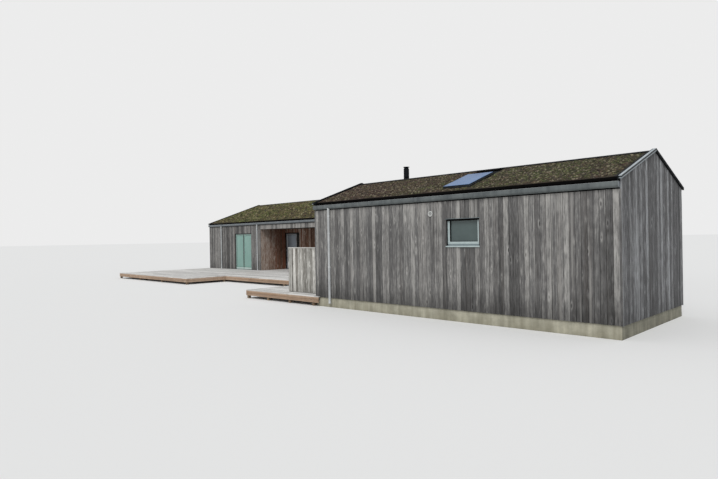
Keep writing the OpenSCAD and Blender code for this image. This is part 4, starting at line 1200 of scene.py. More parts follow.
@dataclass(frozen=True)
class Cladding:
    """All walls: their boards and corner battens, and their cores."""

    window_wide: float = 0.925
    sill: float = 1.805
    window_head: float = 2.485
    front_window: float = 23.925
    back_windows: tuple[float, ...] = (3.9, 10.5, 17.1)
    porch: Pair = (5.7, 10.7)
    porch_deep: float = 1.8
    porch_head: float = 2.68
    porch_door: float = 7.02
    door: Pair = (3.01, 4.75)
    door_head: float = 2.47
    link: Pair = (19.0, 21.0)
    link_head: float = 2.68
    paler_headers: float = 2.6

    def hole(self, x0: float) -> Area:
        """Gives a window's opening from its left side."""
        return (x0, x0 + self.window_wide, self.sill, self.window_head)

    def piece(self, draft: Draft, name: str, finish: Finish, *nodes: str, slot: str = "cladding") -> None:
        """Makes a wall group's piece."""
        draft.piece(name, slot, (finish, MEMBRANE, LINING), nodes)

    def build(self) -> None:
        """Builds each wall group as one piece."""
        self.front_walls()
        self.gables("front_gable_boards", GABLE_CLADDING, SIZES.front, "front_gables", 13)
        self.gables("rear_gable_boards", REAR_CLADDING, SIZES.rear, "rear_gables", 15)
        self.rear_front()
        self.rear_back()
        self.porch_walls()
        self.link_walls()

    def front_walls(self) -> None:
        """Builds the front wing's long walls, one window in each. The back one ends at the link."""
        wing, window = SIZES.front, self.front_window
        x0, x1 = SIZES.inside(wing)
        behind = SIZES.inside(SIZES.rear)[1]
        draft = Draft(11)
        WallFace((wing.x0, wing.y0), (0, -1), wing.length, openings=(self.hole(window - wing.x0),),
                 corners=(True, True)).build(draft)
        Core(draft).wall(wing, 0, (x0, x1), holes=(self.hole(window),))
        self.piece(draft, "front_wall_boards", CLADDING, "front_wall")
        draft = Draft(12)
        mirrored = self.hole(wing.x1 - window - self.window_wide)
        WallFace((wing.x1, wing.y1), (0, 1), wing.x1 - self.link[1], openings=(mirrored,),
                 corners=(True, False)).build(draft)
        Core(draft).wall(wing, 1, (behind, x1), holes=(self.hole(window),))
        self.piece(draft, "front_back_wall_boards", CLADDING, "front_back_wall")

    def gables(self, name: str, finish: Finish, wing: Wing, node: str, seed: int) -> None:
        """Builds a wing's two gables as one piece."""
        draft = Draft(seed)
        for corner, way in (((wing.x1, wing.y0), 1), ((wing.x0, wing.y1), -1)):
            WallFace(corner, (way, 0), wing.width, gable=True, corners=(True, True)).build(draft)
            Core(draft).gable(wing, way == 1)
        self.piece(draft, name, finish, node)

    def rear_front(self) -> None:
        """Builds the rear wing's front wall with the headers over its openings."""
        rear, (left, right) = SIZES.rear, self.porch
        x0, x1 = SIZES.inside(rear)
        beyond = SIZES.inside(SIZES.front)[0]
        door = (*self.door, SIZES.plinth, self.door_head)
        draft = Draft(14)
        core = Core(draft)
        porch = (left, right, SIZES.plinth, self.porch_head)
        WallFace((rear.x0, rear.y0), (0, -1), self.link[0], paler_from=self.paler_headers,
                 openings=(door, porch), corners=(True, False)).build(draft)
        core.wall(rear, 0, (x0, left - core.behind), holes=(door,))
        core.wall(rear, 0, (left - core.behind, right + core.behind), foot=self.porch_head)
        core.wall(rear, 0, (right + core.behind, beyond))
        for wing, side in ((rear, 0), (SIZES.front, 1)):
            core.wall(wing, side, (beyond, x1), foot=self.link_head, inward=(0.0, SIZES.wall))
        self.piece(draft, "rear_front_wall_boards", REAR_CLADDING, "rear_front_wall", "wall_headers")

    def rear_back(self) -> None:
        """Builds the rear wing's back wall with its three windows."""
        wing, half = SIZES.rear, self.window_wide / 2
        holes = tuple(self.hole(x - half) for x in self.back_windows)
        mirrored = tuple(self.hole(wing.x1 - x - half) for x in self.back_windows)
        draft = Draft(16)
        WallFace((wing.x1, wing.y1), (0, 1), wing.length, openings=mirrored,
                 corners=(True, True)).build(draft)
        Core(draft).wall(wing, 1, SIZES.inside(wing), holes=holes)
        self.piece(draft, "rear_back_wall_boards", REAR_CLADDING, "rear_back_wall")

    def porch_walls(self) -> None:
        """Builds the porch's sides and back: boards seen from inside the porch, and the cores behind them."""
        (left, right), deep, wing = self.porch, self.porch_deep, SIZES.rear
        back = wing.y0 + deep
        shape = {"foot": SIZES.deck_top + 0.004, "head": self.porch_head}
        draft = Draft(17)
        core = Core(draft)
        reach = SIZES.wall - core.lining
        side = deep - SIZES.board
        # grade paints the side boards lighter and greyer near the porch's mouth and darker and browner deeper
        # in: painted light and shade.
        WallFace((left, wing.y0 + SIZES.board), (1, 0), side, **shape).build(draft, (1.1, 0.0))
        WallFace((right, back), (-1, 0), side, **shape).build(draft, (0.0, 1.1))
        door = (0.0, self.porch_door - left, 0.0, self.door_head)
        WallFace((left, back), (0, -1), right - left, openings=(door,), **shape).build(draft)
        y = (wing.y0 + SIZES.wall, back + SIZES.wall)
        core.cross((left - reach + core.gap, left - core.behind), (left - SIZES.wall, left - reach), y)
        core.cross((right + core.behind, right + reach - core.gap), (right + reach, right + SIZES.wall), y)
        inward = (deep + core.behind, deep + SIZES.wall)
        core.wall(wing, 0, (self.porch_door, right), inward=inward)
        core.wall(wing, 0, (left, self.porch_door), foot=self.door_head, inward=inward)
        self.piece(draft, "porch_wall_boards", PORCH_BOARDS, "porch_side_walls", "porch_back_wall",
                   "porch_door_header", slot="porch_cladding")

    def link_walls(self) -> None:
        """Builds the link's two walls, from the front wing's back wall to the rear wing's front wall."""
        (x0, x1), y = self.link, (SIZES.front.y1, SIZES.rear.y0)
        draft = Draft(18)
        core = Core(draft)
        far, inner = SIZES.wall, SIZES.wall - core.lining
        WallFace((x0, y[1]), (-1, 0), y[1] - y[0], head=self.link_head).build(draft)
        WallFace((x1, y[0]), (1, 0), y[1] - y[0], head=self.link_head).build(draft)
        core.cross((x0 + core.behind, x0 + inner - core.gap), (x0 + inner, x0 + far), y, self.link_head)
        core.cross((x1 - inner + core.gap, x1 - core.behind), (x1 - far, x1 - inner), y, self.link_head)
        self.piece(draft, "link_wall_boards", REAR_CLADDING, "link_walls")


@dataclass(frozen=True)
class SedumRoof:
    """One wing's sedum: a lumpy mat on each slope, with cushions of succulents on it."""

    name: str
    wing: Wing
    finish: SedumFinish
    step: float
    tufts: Pair
    radius: Pair
    hole: Area
    seed: int
    strips: Pair = (0.012, 0.095)
    strip_high: float = 0.046
    lift: float = 0.001
    ridge_gap: float = 0.020
    cap_reach: float = 0.125

    @property
    def ends(self) -> Pair:
        """The mat's ends, inside the black felt strips along the verges, which also paint the shadow by the
        verge caps: narrow at the left, wide at the right.
        """
        edge = SIZES.verge_wide - SIZES.verge_out
        return (self.wing.x0 + edge + self.strips[0], self.wing.x1 - edge - self.strips[1])

    @property
    def reach(self) -> Pair:
        """How far in from the wall the mat begins and ends."""
        return (SIZES.eave_in + 0.001, self.wing.half - self.ridge_gap)

    def thickness(self, x: Array, inward: Array) -> Array:
        """Gives the mat's thickness: 38 mm, and up to 17 mm more by noise at two scales."""
        wide = value_noise(x, inward, 0.34, self.seed)
        fine = value_noise(x, inward, 0.11, self.seed + 1)
        return 0.038 + 0.010 * wide + 0.007 * fine

    def blocks(self, side: int) -> list[Area]:
        """Gives the mat's blocks, as ends and distances in. The front slope's lie round its hole."""
        (x0, x1), (low, high) = self.ends, self.reach
        if side == 1:
            return [(x0, x1, low, high)]
        a, b, c, d = self.hole
        made = [(x0, a, low, high), (a, b, low, c), (b, x1, low, high)]
        return made + ([(a, b, d, high)] if d < high else [])

    def mat(self, draft: Draft, side: int, block: Area) -> None:
        """Adds one block of the mat: rings across the slope at steps along the ridge."""
        along, across = (np.linspace(start, end, max(2, round((end - start) / self.step)))
                         for start, end in (block[:2], block[2:]))
        x, inward = np.meshgrid(along, across, indexing="ij")
        top = places(x, self.wing.across(side, inward), SIZES.roof(inward) + self.thickness(x, inward))
        ends = inward[:, [-1, 0]]
        foot = places(x[:, [-1, 0]], self.wing.across(side, ends), SIZES.roof(ends) + self.lift)
        # The mat's low second tone paints it darker than the cushions: painted shade between them.
        draft.loft(np.concatenate([top, foot], axis=1), (0.3, 0.12, 0.2))

    def cushions(self, draft: Draft, side: int, block: Area) -> None:
        """Adds cushions: six-sided domes of two rings, each squashed, turned and dented its own way."""
        x0, x1, low, high = block
        high = min(high, self.wing.half - self.cap_reach)
        deep = high - low
        if deep < 0.03:
            return
        count = int(self.tufts[side] * (x1 - x0) * deep / math.cos(SIZES.turn))
        radius = draft.random.uniform(*self.radius, count)
        x = draft.random.uniform(x0 + 0.03, x1 - 0.03, count)
        inward = draft.random.uniform(low + min(0.05, 0.3 * deep), high - min(0.04, 0.3 * deep), count)
        base = SIZES.roof(inward) + self.thickness(x, inward) - 0.35 * radius * 0.4
        height = radius * draft.random.uniform(0.35, 0.8, count)
        tip = places(x, inward, base + height)[:, None]
        x, inward, base, height, radius = (part[:, None, None] for part in (x, inward, base, height, radius))
        turn = draft.random.uniform(0, np.pi, count)[:, None, None] + turns(6)
        dent = draft.random.uniform(0.8, 1.15, (count, 2, 6))
        wide, up = np.array([1.0, 0.72])[:, None], np.array([-0.1, 0.72])[:, None]
        spread = radius * wide * dent
        y = inward + spread * np.sin(turn)
        skin = places(x + spread * np.cos(turn), y, base + height * up * dent + SIZES.slope * (y - inward))
        points = np.concatenate([skin.reshape(count, 12, 3), tip], axis=1)
        points[..., 1] = self.wing.across(side, points[..., 1])
        k = np.arange(6)
        beside = (k + 1) % 6
        shapes = (np.stack([k, beside, 6 + beside, 6 + k], axis=1),
                  np.stack([6 + k, 6 + beside, np.full(6, 12)], axis=1), k[None, ::-1])
        way = 1 if side == 0 else -1
        shift = 13 * np.arange(count)[:, None, None]
        quads, tris, feet = ((shape[:, ::way] + shift).reshape(-1, shape.shape[1]) for shape in shapes)
        tones = draft.random.random((count, 3))
        start = draft.count
        draft.add(points.reshape(-1, 3), quads, np.repeat(tones, 6, 0), soft=True)
        draft.extra(tris, start, np.repeat(tones, 6, 0), soft=True)
        draft.extra(feet, start, tones)

    def build(self) -> None:
        """Builds the two slopes as two pieces that stand for the wing's mats."""
        for side, label in enumerate(("front", "back")):
            draft = Draft(self.seed + 10 * side)
            for block in self.blocks(side):
                self.mat(draft, side, block)
                self.cushions(draft, side, block)
            # Black strips at each verge beside the mat: felt, and painted shadow of the gap by the verge cap.
            low, high = self.reach
            inward = np.array([low, high, high, low])
            height = SIZES.roof(inward) + np.array([self.strip_high, self.strip_high, self.lift, self.lift])
            for end, way, wide in zip(self.ends, (-1, 1), self.strips):
                x = (end + way * 0.001, end + way * (wide - 0.001))
                draft.loft(along_x(x, self.wing.across(side, inward), height), number=1)
            draft.piece(f"{self.name}_{label}_slope", "sedum", (self.finish, VERGE_FELT_AND_SHADE), (self.name,))


@dataclass(frozen=True)
class VergeCaps:
    """The gables' verge caps: a black upstand beside the mat as painted shade, a plate, a dark nosing and a
    grey face.

    The plate is pale zinc at the right gables, a painted reflection of the sky, and black at the left ones,
    painted shade.
    """

    upstand: float = 0.022
    gap: float = 0.0002

    def folds(self) -> tuple[tuple[int, Any], ...]:
        """Gives each fold's finish number and outline, outward from the gable's face and up from the deck."""
        out = SIZES.verge_out
        inner = out - SIZES.verge_wide
        edge = inner + self.upstand
        return (
            (1, [(inner, 0.002), (inner, 0.084), (inner + 0.005, 0.089), (edge, 0.087), (edge, 0.002)]),
            (0, [(edge + 0.001, 0.079), (edge + 0.001, 0.087), (edge + 0.004, 0.090), (out - 0.001, 0.090),
                 (out - 0.001, 0.079)]),
            (3, [(-0.020, 0.0515), (-0.020, 0.0785), (out - 0.0005, 0.0785), (out - 0.0005, 0.0895),
                 (out + 0.003, 0.0885), (out + 0.004, 0.080), (out + 0.004, 0.0515)]),
            (2, [(0.002, 0.0260), (0.002, 0.0335), (-0.020, 0.0335), (-0.020, 0.0510), (out + 0.0025, 0.0510),
                 (out + 0.0035, 0.0490), (out + 0.0035, 0.0290), (out + 0.0010, 0.0260)]))

    def build(self) -> None:
        """Sweeps each fold's outline over each gable. On the back slope its nosing and face are black as
        painted shade.
        """
        draft = Draft(31)
        nose = SIZES.nose_out - 0.001
        for wing in (SIZES.front, SIZES.rear):
            inward = np.array([-nose, wing.half, -nose])
            y = np.array([wing.y0 - nose, wing.y0 + wing.half, wing.y1 + nose])
            for face, sign in ((wing.x0, -1), (wing.x1, 1)):
                for number, outline in self.folds():
                    out, up = np.array(outline).T
                    rings = places(face + sign * out, y[:, None], SIZES.roof(inward)[:, None] + up)
                    # Painted shade: nosing and face turn black on the back slope, and the plate turns black
                    # on the left gables.
                    if number > 1:
                        draft.loft(rings[:2] - (0.0, self.gap, 0.0), number=number)
                        draft.loft(rings[1:] + (0.0, self.gap, 0.0), number=1)
                    else:
                        draft.loft(rings, number=1 if sign < 0 else number)
        finishes = (VERGE_REFLECTION_ZINC, BLACK_METAL_AND_SHADE, VERGE_FACE, DARK_METAL)
        draft.piece("verge_cap_folds", "zinc", finishes, ("verge_caps",))


@dataclass(frozen=True)
class RainGoods:
    """The gutters with their lips, end stops and brackets, and the downpipes' bands, seams and clips."""

    radius: float = 0.062
    sheet: float = 0.0025
    end: float = 0.024
    axis_out: float = 0.025
    straight: float = 0.060
    bracket_step: float = 0.62
    sleeve_step: float = 3.0
    roll: float = 0.008
    pipe_out: float = 0.0475
    pipe_radius: float = 0.0375
    pipe_head: float = 2.860
    bands: Pair = (1.180, 2.700)
    clips: Pair = (0.715, 2.215)
    pipes: tuple[tuple[int, int, float, float], ...] = (
        (0, 0, 19.69, 0.120), (0, 1, 27.31, 0.120), (1, 0, 1.51, 0.300), (1, 0, 5.42, 0.300),
        (1, 1, 1.51, 0.120), (1, 1, 19.49, 0.120))

    def outline(self, radius: float) -> Array:
        """Gives a gutter's outline as places in and heights: straight down, half a circle, straight up."""
        angle = np.linspace(0, np.pi, 15)
        arc = np.stack([-self.axis_out - radius * np.cos(angle),
                        SIZES.gutter_top - self.straight - radius * np.sin(angle)], axis=1)
        return np.concatenate([[[arc[0, 0], SIZES.gutter_top]], arc, [[arc[-1, 0], SIZES.gutter_top]]])

    def drawn(self, draft: Draft, wing: Wing, side: int, x: Pair, outline: Array, number: int) -> None:
        """Draws an outline along X from one place to another."""
        draft.loft(along_x(x, wing.across(side, outline[:, 0]), outline[:, 1]), number=number)

    def trough(self, draft: Draft, wing: Wing, side: int, number: int) -> None:
        """Adds a gutter's sheet and an end stop at each end."""
        x0, x1 = wing.x0 + self.end, wing.x1 - self.end
        sheet = np.concatenate([self.outline(self.radius), self.outline(self.radius - self.sheet)[::-1]])
        self.drawn(draft, wing, side, (x0 + 0.004, x1 - 0.004), sheet, number)
        for x in ((x0, x0 + 0.0038), (x1 - 0.0038, x1)):
            self.drawn(draft, wing, side, x, self.outline(self.radius + 0.0015), 2)

    def lip(self, draft: Draft, wing: Wing, side: int) -> None:
        """Adds the rolled lip: a tube along the gutter's outer top edge, in pale zinc as a painted highlight.
        """
        angle = turns(12)
        inward = -(self.axis_out + self.radius - self.roll) + self.roll * np.cos(angle)
        height = SIZES.gutter_top - 0.005 + self.roll * np.sin(angle)
        x = (wing.x0 + self.end, wing.x1 - self.end)
        draft.loft(along_x(x, wing.across(side, inward), height), number=1, soft=True)

    def strap(self, draft: Draft, wing: Wing, side: int, x: float, wide: float, thick: float,
              number: int) -> None:
        """Adds a strap round the gutter: down its outer side, about its half round and up the wall side."""
        arc = np.linspace(0, np.pi, 13)
        angle = np.concatenate([[0.0, 0.0], arc, [np.pi]])
        lift = np.concatenate([[self.straight - 0.012, 0.5 * self.straight], 0 * arc, [0.4 * self.straight]])
        reach = self.radius + thick * np.clip((np.pi - angle) * 3, 0.05, 1)
        inner = np.full_like(angle, self.radius - 0.002)
        rings = []
        for edge, size in ((-wide / 2, reach), (wide / 2, reach), (wide / 2, inner), (-wide / 2, inner)):
            inward = -self.axis_out - size * np.cos(angle)
            height = SIZES.gutter_top - self.straight - size * np.sin(angle) + lift
            rings.append(places(x + edge, wing.across(side, inward), height))
        draft.loft(np.stack(rings, axis=1), number=number)

    def pipe(self, draft: Draft, wing: Wing, side: int, x: float, foot: float) -> None:
        """Adds a downpipe's bands, the first at its foot, its seam on the outer side and its clips."""
        y, to_wall = wing.across(side, -self.pipe_out), 1 if side == 0 else -1
        band = np.array([(0.0002, 0.001), (0.002, 0.001), (0.0035, 0.004), (0.0035, 0.008), (0.002, 0.011),
                         (0.002, 0.055), (0.0002, 0.056)])
        for z in (foot, *self.bands):
            draft.loft(turned(x, y, band + (self.pipe_radius, z), 24), soft=True)
        seam = y - to_wall * (self.pipe_radius - 0.001)
        draft.boxes([x - 0.004, seam, foot + 0.012], [x + 0.004, seam - to_wall * 0.0022, self.pipe_head],
                    0.0008)
        for z in self.clips:
            for way in (-1, 1):
                edge = x + way * (self.pipe_radius + 0.004)
                draft.boxes([edge, y - 0.004, z - 0.014], [edge + way * 0.014, y + 0.004, z + 0.014], 0.0015)

    def build(self) -> None:
        """Builds all four gutters with their brackets and sleeves, then the pipes' bands, clips and seams."""
        draft = Draft(41)
        for wing, number in ((SIZES.front, 0), (SIZES.rear, 2)):
            for side in (0, 1):
                self.trough(draft, wing, side, number)
                self.lip(draft, wing, side)
                count = round(wing.length / self.bracket_step)
                for x in np.linspace(wing.x0 + 0.2, wing.x1 - 0.2, count):
                    self.strap(draft, wing, side, x, 0.025, 0.0025, number)
                for x in np.arange(wing.x0 + self.sleeve_step, wing.x1 - 0.5, self.sleeve_step):
                    self.strap(draft, wing, side, x, 0.080, 0.002, number)
        draft.piece("gutter_runs_and_brackets", "zinc", (ZINC, PIPE_ZINC, REAR_ZINC), ("gutters",))
        draft = Draft(43)
        for wing_number, side, x, foot in self.pipes:
            self.pipe(draft, (SIZES.front, SIZES.rear)[wing_number], side, x, foot)
        draft.piece("downpipe_bands_and_clips", "zinc", (PIPE_ZINC,))
        dress(PIPE_ZINC, "downpipes")


@dataclass(frozen=True)
class Deck:
    """The raised deck: silvered boards along X, brown edge boards, joists and posts."""

    areas: tuple[Area, ...] = (
        (0.0, 19.0, 3.6, 7.3), (0.0, 7.9, 1.5, 3.6), (15.3, 19.0, -0.08, 3.6), (5.7, 10.7, 7.3, 9.1),
        (19.0, 19.2, -0.08, 0.0))
    edges: tuple[Area, ...] = (
        (15.3, 19.2, -0.08, -0.052), (15.3, 15.328, -0.052, 3.6), (7.9, 15.328, 3.6, 3.628),
        (7.872, 7.9, 1.5, 3.628), (0.028, 7.872, 1.5, 1.528), (0.0, 0.028, 1.5, 7.3))
    edge_foot: float = 0.102
    edge_length: float = 3.6
    thick: float = 0.028
    step: float = 0.145
    gap: float = 0.005
    joists: float = 0.6
    uneven: float = 0.0012
    cut: float = 0.003

    def build(self) -> None:
        """Lays rows of boards over each area, jointed over the joists at staggered places."""
        draft = Draft(51)
        for x0, x1, y0, y1 in self.areas:
            for row in spans(y0, y1, self.step):
                first = x0 + self.joists * draft.random.integers(3, 8)
                cuts = np.concatenate([[x0], np.arange(first, x1 - 1.5 * self.joists, 7 * self.joists), [x1]])
                top = SIZES.deck_top - draft.random.uniform(0, self.uneven, len(cuts) - 1)
                lay_row(draft, cuts, row, (SIZES.deck_top - self.thick, top), (0.001, self.gap / 2), self.cut)
        draft.piece("deck_board_rows", "deck_wood", (DECK_BOARDS,), ("deck_boards",))
        self.edge_boards()
        dress(DECK_TIMBER, "deck_frame")

    def edge_boards(self) -> None:
        """Builds the deck's edge as two boards over each other, in lengths with butt joints."""
        draft = Draft(53)
        top = SIZES.deck_top - self.thick - 0.0005
        middle = (self.edge_foot + top) / 2
        for x0, x1, y0, y1 in self.edges:
            along = 0 if x1 - x0 > y1 - y0 else 1
            starts, ends = np.array(spans(*((x0, x1), (y0, y1))[along], self.edge_length)).T
            for z0, z1 in ((self.edge_foot, middle - 0.002), (middle + 0.002, top)):
                low, high = places(x0, y0, z0 + 0 * starts), places(x1, y1, z1 + 0 * starts)
                low[:, along], high[:, along] = starts + 0.001, ends - 0.001
                draft.boxes(low, high, self.cut)
        draft.piece("deck_edge_board_rows", "deck_timber", (DECK_EDGE,), ("deck_edge_boards",))


@dataclass(frozen=True)
class Screen:
    """The low screen on the deck: upright boards on rails and two posts, under a cap board."""

    x0: float = 17.14
    x1: float = 19.0
    y: float = 0.400
    thick: float = 0.021
    post: float = 0.095
    rail: Pair = (0.045, 0.095)
    rails: tuple[float, float, float] = (0.42, 1.02, 1.60)
    top: float = 1.790
    cap: float = 0.028
    cap_over: float = 0.010
    step: float = 0.120
    gap: float = 0.004

    def build(self) -> None:
        """Builds boards, rails, posts and cap as one piece."""
        draft = Draft(61)
        back, head = self.y + self.thick, self.top - self.cap
        starts, ends = np.array(spans(self.x0, self.x1, self.step)).T
        near = self.y + draft.random.uniform(0, 0.003, len(starts))
        draft.boxes(places(starts + self.gap / 2, near, SIZES.deck_top + 0.02),
                    places(ends - self.gap / 2, back, head), 0.003)
        deep, high = self.rail
        for z in self.rails:
            draft.boxes([self.x0 + self.post, back, z], [self.x1 - self.post, back + deep, z + high])
        for x in (self.x0, self.x1 - self.post):
            draft.boxes([x, back, SIZES.deck_top], [x + self.post, back + self.post, head], 0.005)
        draft.boxes([self.x0, self.y - self.cap_over, head],
                    [self.x1, back + self.post + self.cap_over, self.top], 0.004, [[0.9, 0.2, 0.9]], 1)
        draft.piece("screen_boards", "screen_wood", (SCREEN_BOARDS, SCREEN_CAP), ("screen",))


@dataclass(frozen=True)
class Windows:
    """The five wall windows: near-black reveal boards as painted shade, frame, sash with a gasket that also
    paints the rebate's shade, sloping sill and drip strip.

    The outlines of side, low, sash and gasket give places in from the edge and outward from the frame's
    face. Those of sill, horn and drip give places outward from the wall's face and up.
    """

    wide: float = 0.925
    high: float = 0.680
    foot: float = 1.805
    deep: float = 0.120
    frame: float = 0.030
    frame_low: float = 0.090
    board: float = 0.012
    lip: float = 0.025
    side: Outline = ((0, -0.120), (0, 0), (0.024, 0), (0.030, -0.006), (0.030, -0.062), (0.026, -0.066),
                     (0.030, -0.070), (0.030, -0.120))
    low: Outline = ((0, -0.120), (0, 0), (0.082, 0), (0.090, -0.006), (0.090, -0.062), (0.086, -0.066),
                    (0.090, -0.070), (0.090, -0.120))
    sash: Outline = ((0, -0.058), (0, -0.005), (0.003, -0.002), (0.034, -0.002), (0.038, -0.006),
                     (0.038, -0.050), (0.034, -0.058))
    gasket: Outline = ((0.0375, -0.044), (0.0375, -0.007), (0.0395, -0.008), (0.0400, -0.040),
                       (0.0520, -0.0425), (0.0520, -0.044))
    sill: Outline = ((-0.040, 0.004), (0.018, 0.004), (0.019, 0.001), (0.025, 0.001), (0.025, 0.020),
                     (0.021, 0.025), (-0.040, 0.035))
    horn: Outline = ((0.001, 0.002), (0.025, 0.002), (0.025, 0.021), (0.021, 0.026), (0.001, 0.0305))
    drip: Outline = ((0.001, 0.0115), (0.001, 0.004), (0.021, 0.001), (0.025, 0.0005), (0.025, 0.004),
                     (0.004, 0.0115))

    def places(self) -> list[Facing]:
        """Gives each opening's plane, from its left side as seen from outside."""
        front, rear, cladding = SIZES.front, SIZES.rear, Cladding()
        made = [Facing((cladding.front_window, front.y0), (0, -1)),
                Facing((cladding.front_window + self.wide, front.y1), (0, 1))]
        return made + [Facing((x + self.wide / 2, rear.y1), (0, 1)) for x in cladding.back_windows]

    def build(self) -> None:
        """Builds frames with reveals, sashes with gaskets, sills with drips, and panes as four pieces."""
        frames, sashes, sills, panes = Draft(21), Draft(22), Draft(23), Draft(24)
        s, z = (0.0, self.wide), (self.foot, self.foot + self.high)
        near, far = -SIZES.reveal, -SIZES.reveal - self.deep
        side, low, sash, gasket = (np.array(outline) + (0.0, near)
                                   for outline in (self.side, self.low, self.sash, self.gasket))
        for place in self.places():
            place.ring(frames, s, z, side, low)
            reach = (near - 0.001, -0.004)
            inner = (self.board, self.wide - self.board)
            # Near-black reveal boards at both sides and the head: painted shade in the reveal.
            for across, foot in (((0.0, inner[0]), z[0] + 0.036), ((inner[1], self.wide), z[0] + 0.036),
                                 (inner, z[1] - 0.0425)):
                place.block(frames, across, reach, (foot, z[1]), 0.0015, 1)
            # A grey band over the frame's foot: painted shade.
            place.block(frames, (0.014, self.wide - 0.014), (near - 0.001, near + 0.003),
                        (z[0] + 0.035, z[0] + 0.074), 0.001, 3)
            lining = [(0.0, -SIZES.wall), (0.0, far - 0.001), (self.board, far - 0.001),
                      (self.board, -SIZES.wall)]
            place.ring(frames, s, z, lining, number=2)
            e = self.frame + 0.002
            hold = (z[0] + self.frame_low + 0.002, z[1] - e)
            place.ring(sashes, (s[0] + e, s[1] - e), hold, sash, high=sash * (0.25, 1.0))
            # The black gasket ring reaches wide into the sash's rebate: a gasket, and painted shade in the
            # rebate.
            head = np.minimum(gasket - (0.0285, 0.0), (0.0125, 1.0))
            place.ring(sashes, (s[0] + e, s[1] - e), hold, gasket, high=head, number=1)
            edge = e + 0.0375
            place.block(panes, (edge, self.wide - edge), (near - 0.0485, near - 0.0445),
                        (hold[0] + 0.0375, hold[1] - 0.0090), 0.001)
            horn = np.array(self.horn) + (0.0, z[0])
            place.bar(sills, (0.001, self.wide - 0.001), np.array(self.sill) + (0.0, z[0]))
            place.bar(sills, (-0.012, 0.0), horn)
            place.bar(sills, (self.wide, self.wide + 0.012), horn)
            # The drip strip takes the grey foot paint: painted shade at the head.
            place.bar(sills, (-self.lip, self.wide + self.lip), np.array(self.drip) + (0.0, z[1]), 1)
        frames.piece("window_frame_members", "window_paint", (WINDOW_PAINT, BLACK_BOARDS_AND_SHADE, LINING, FOOT_SHADE_PAINT),
                     ("window_frames",))
        sashes.piece("window_sash_members", "window_paint", (WINDOW_PAINT, GASKET), ("window_sashes",))
        sills.piece("window_sills_and_drips", "window_paint", (WINDOW_PAINT, FOOT_SHADE_PAINT), ("window_sills",))
        panes.piece("window_panes", "clear_glass", (WINDOW_GLASS,), ("window_glass",))


def seed_of(name: str) -> int:
    """Gives a small number for a name, to seed its random numbers."""
    return sum(place * ord(letter) for place, letter in enumerate(name, 1)) % 9973


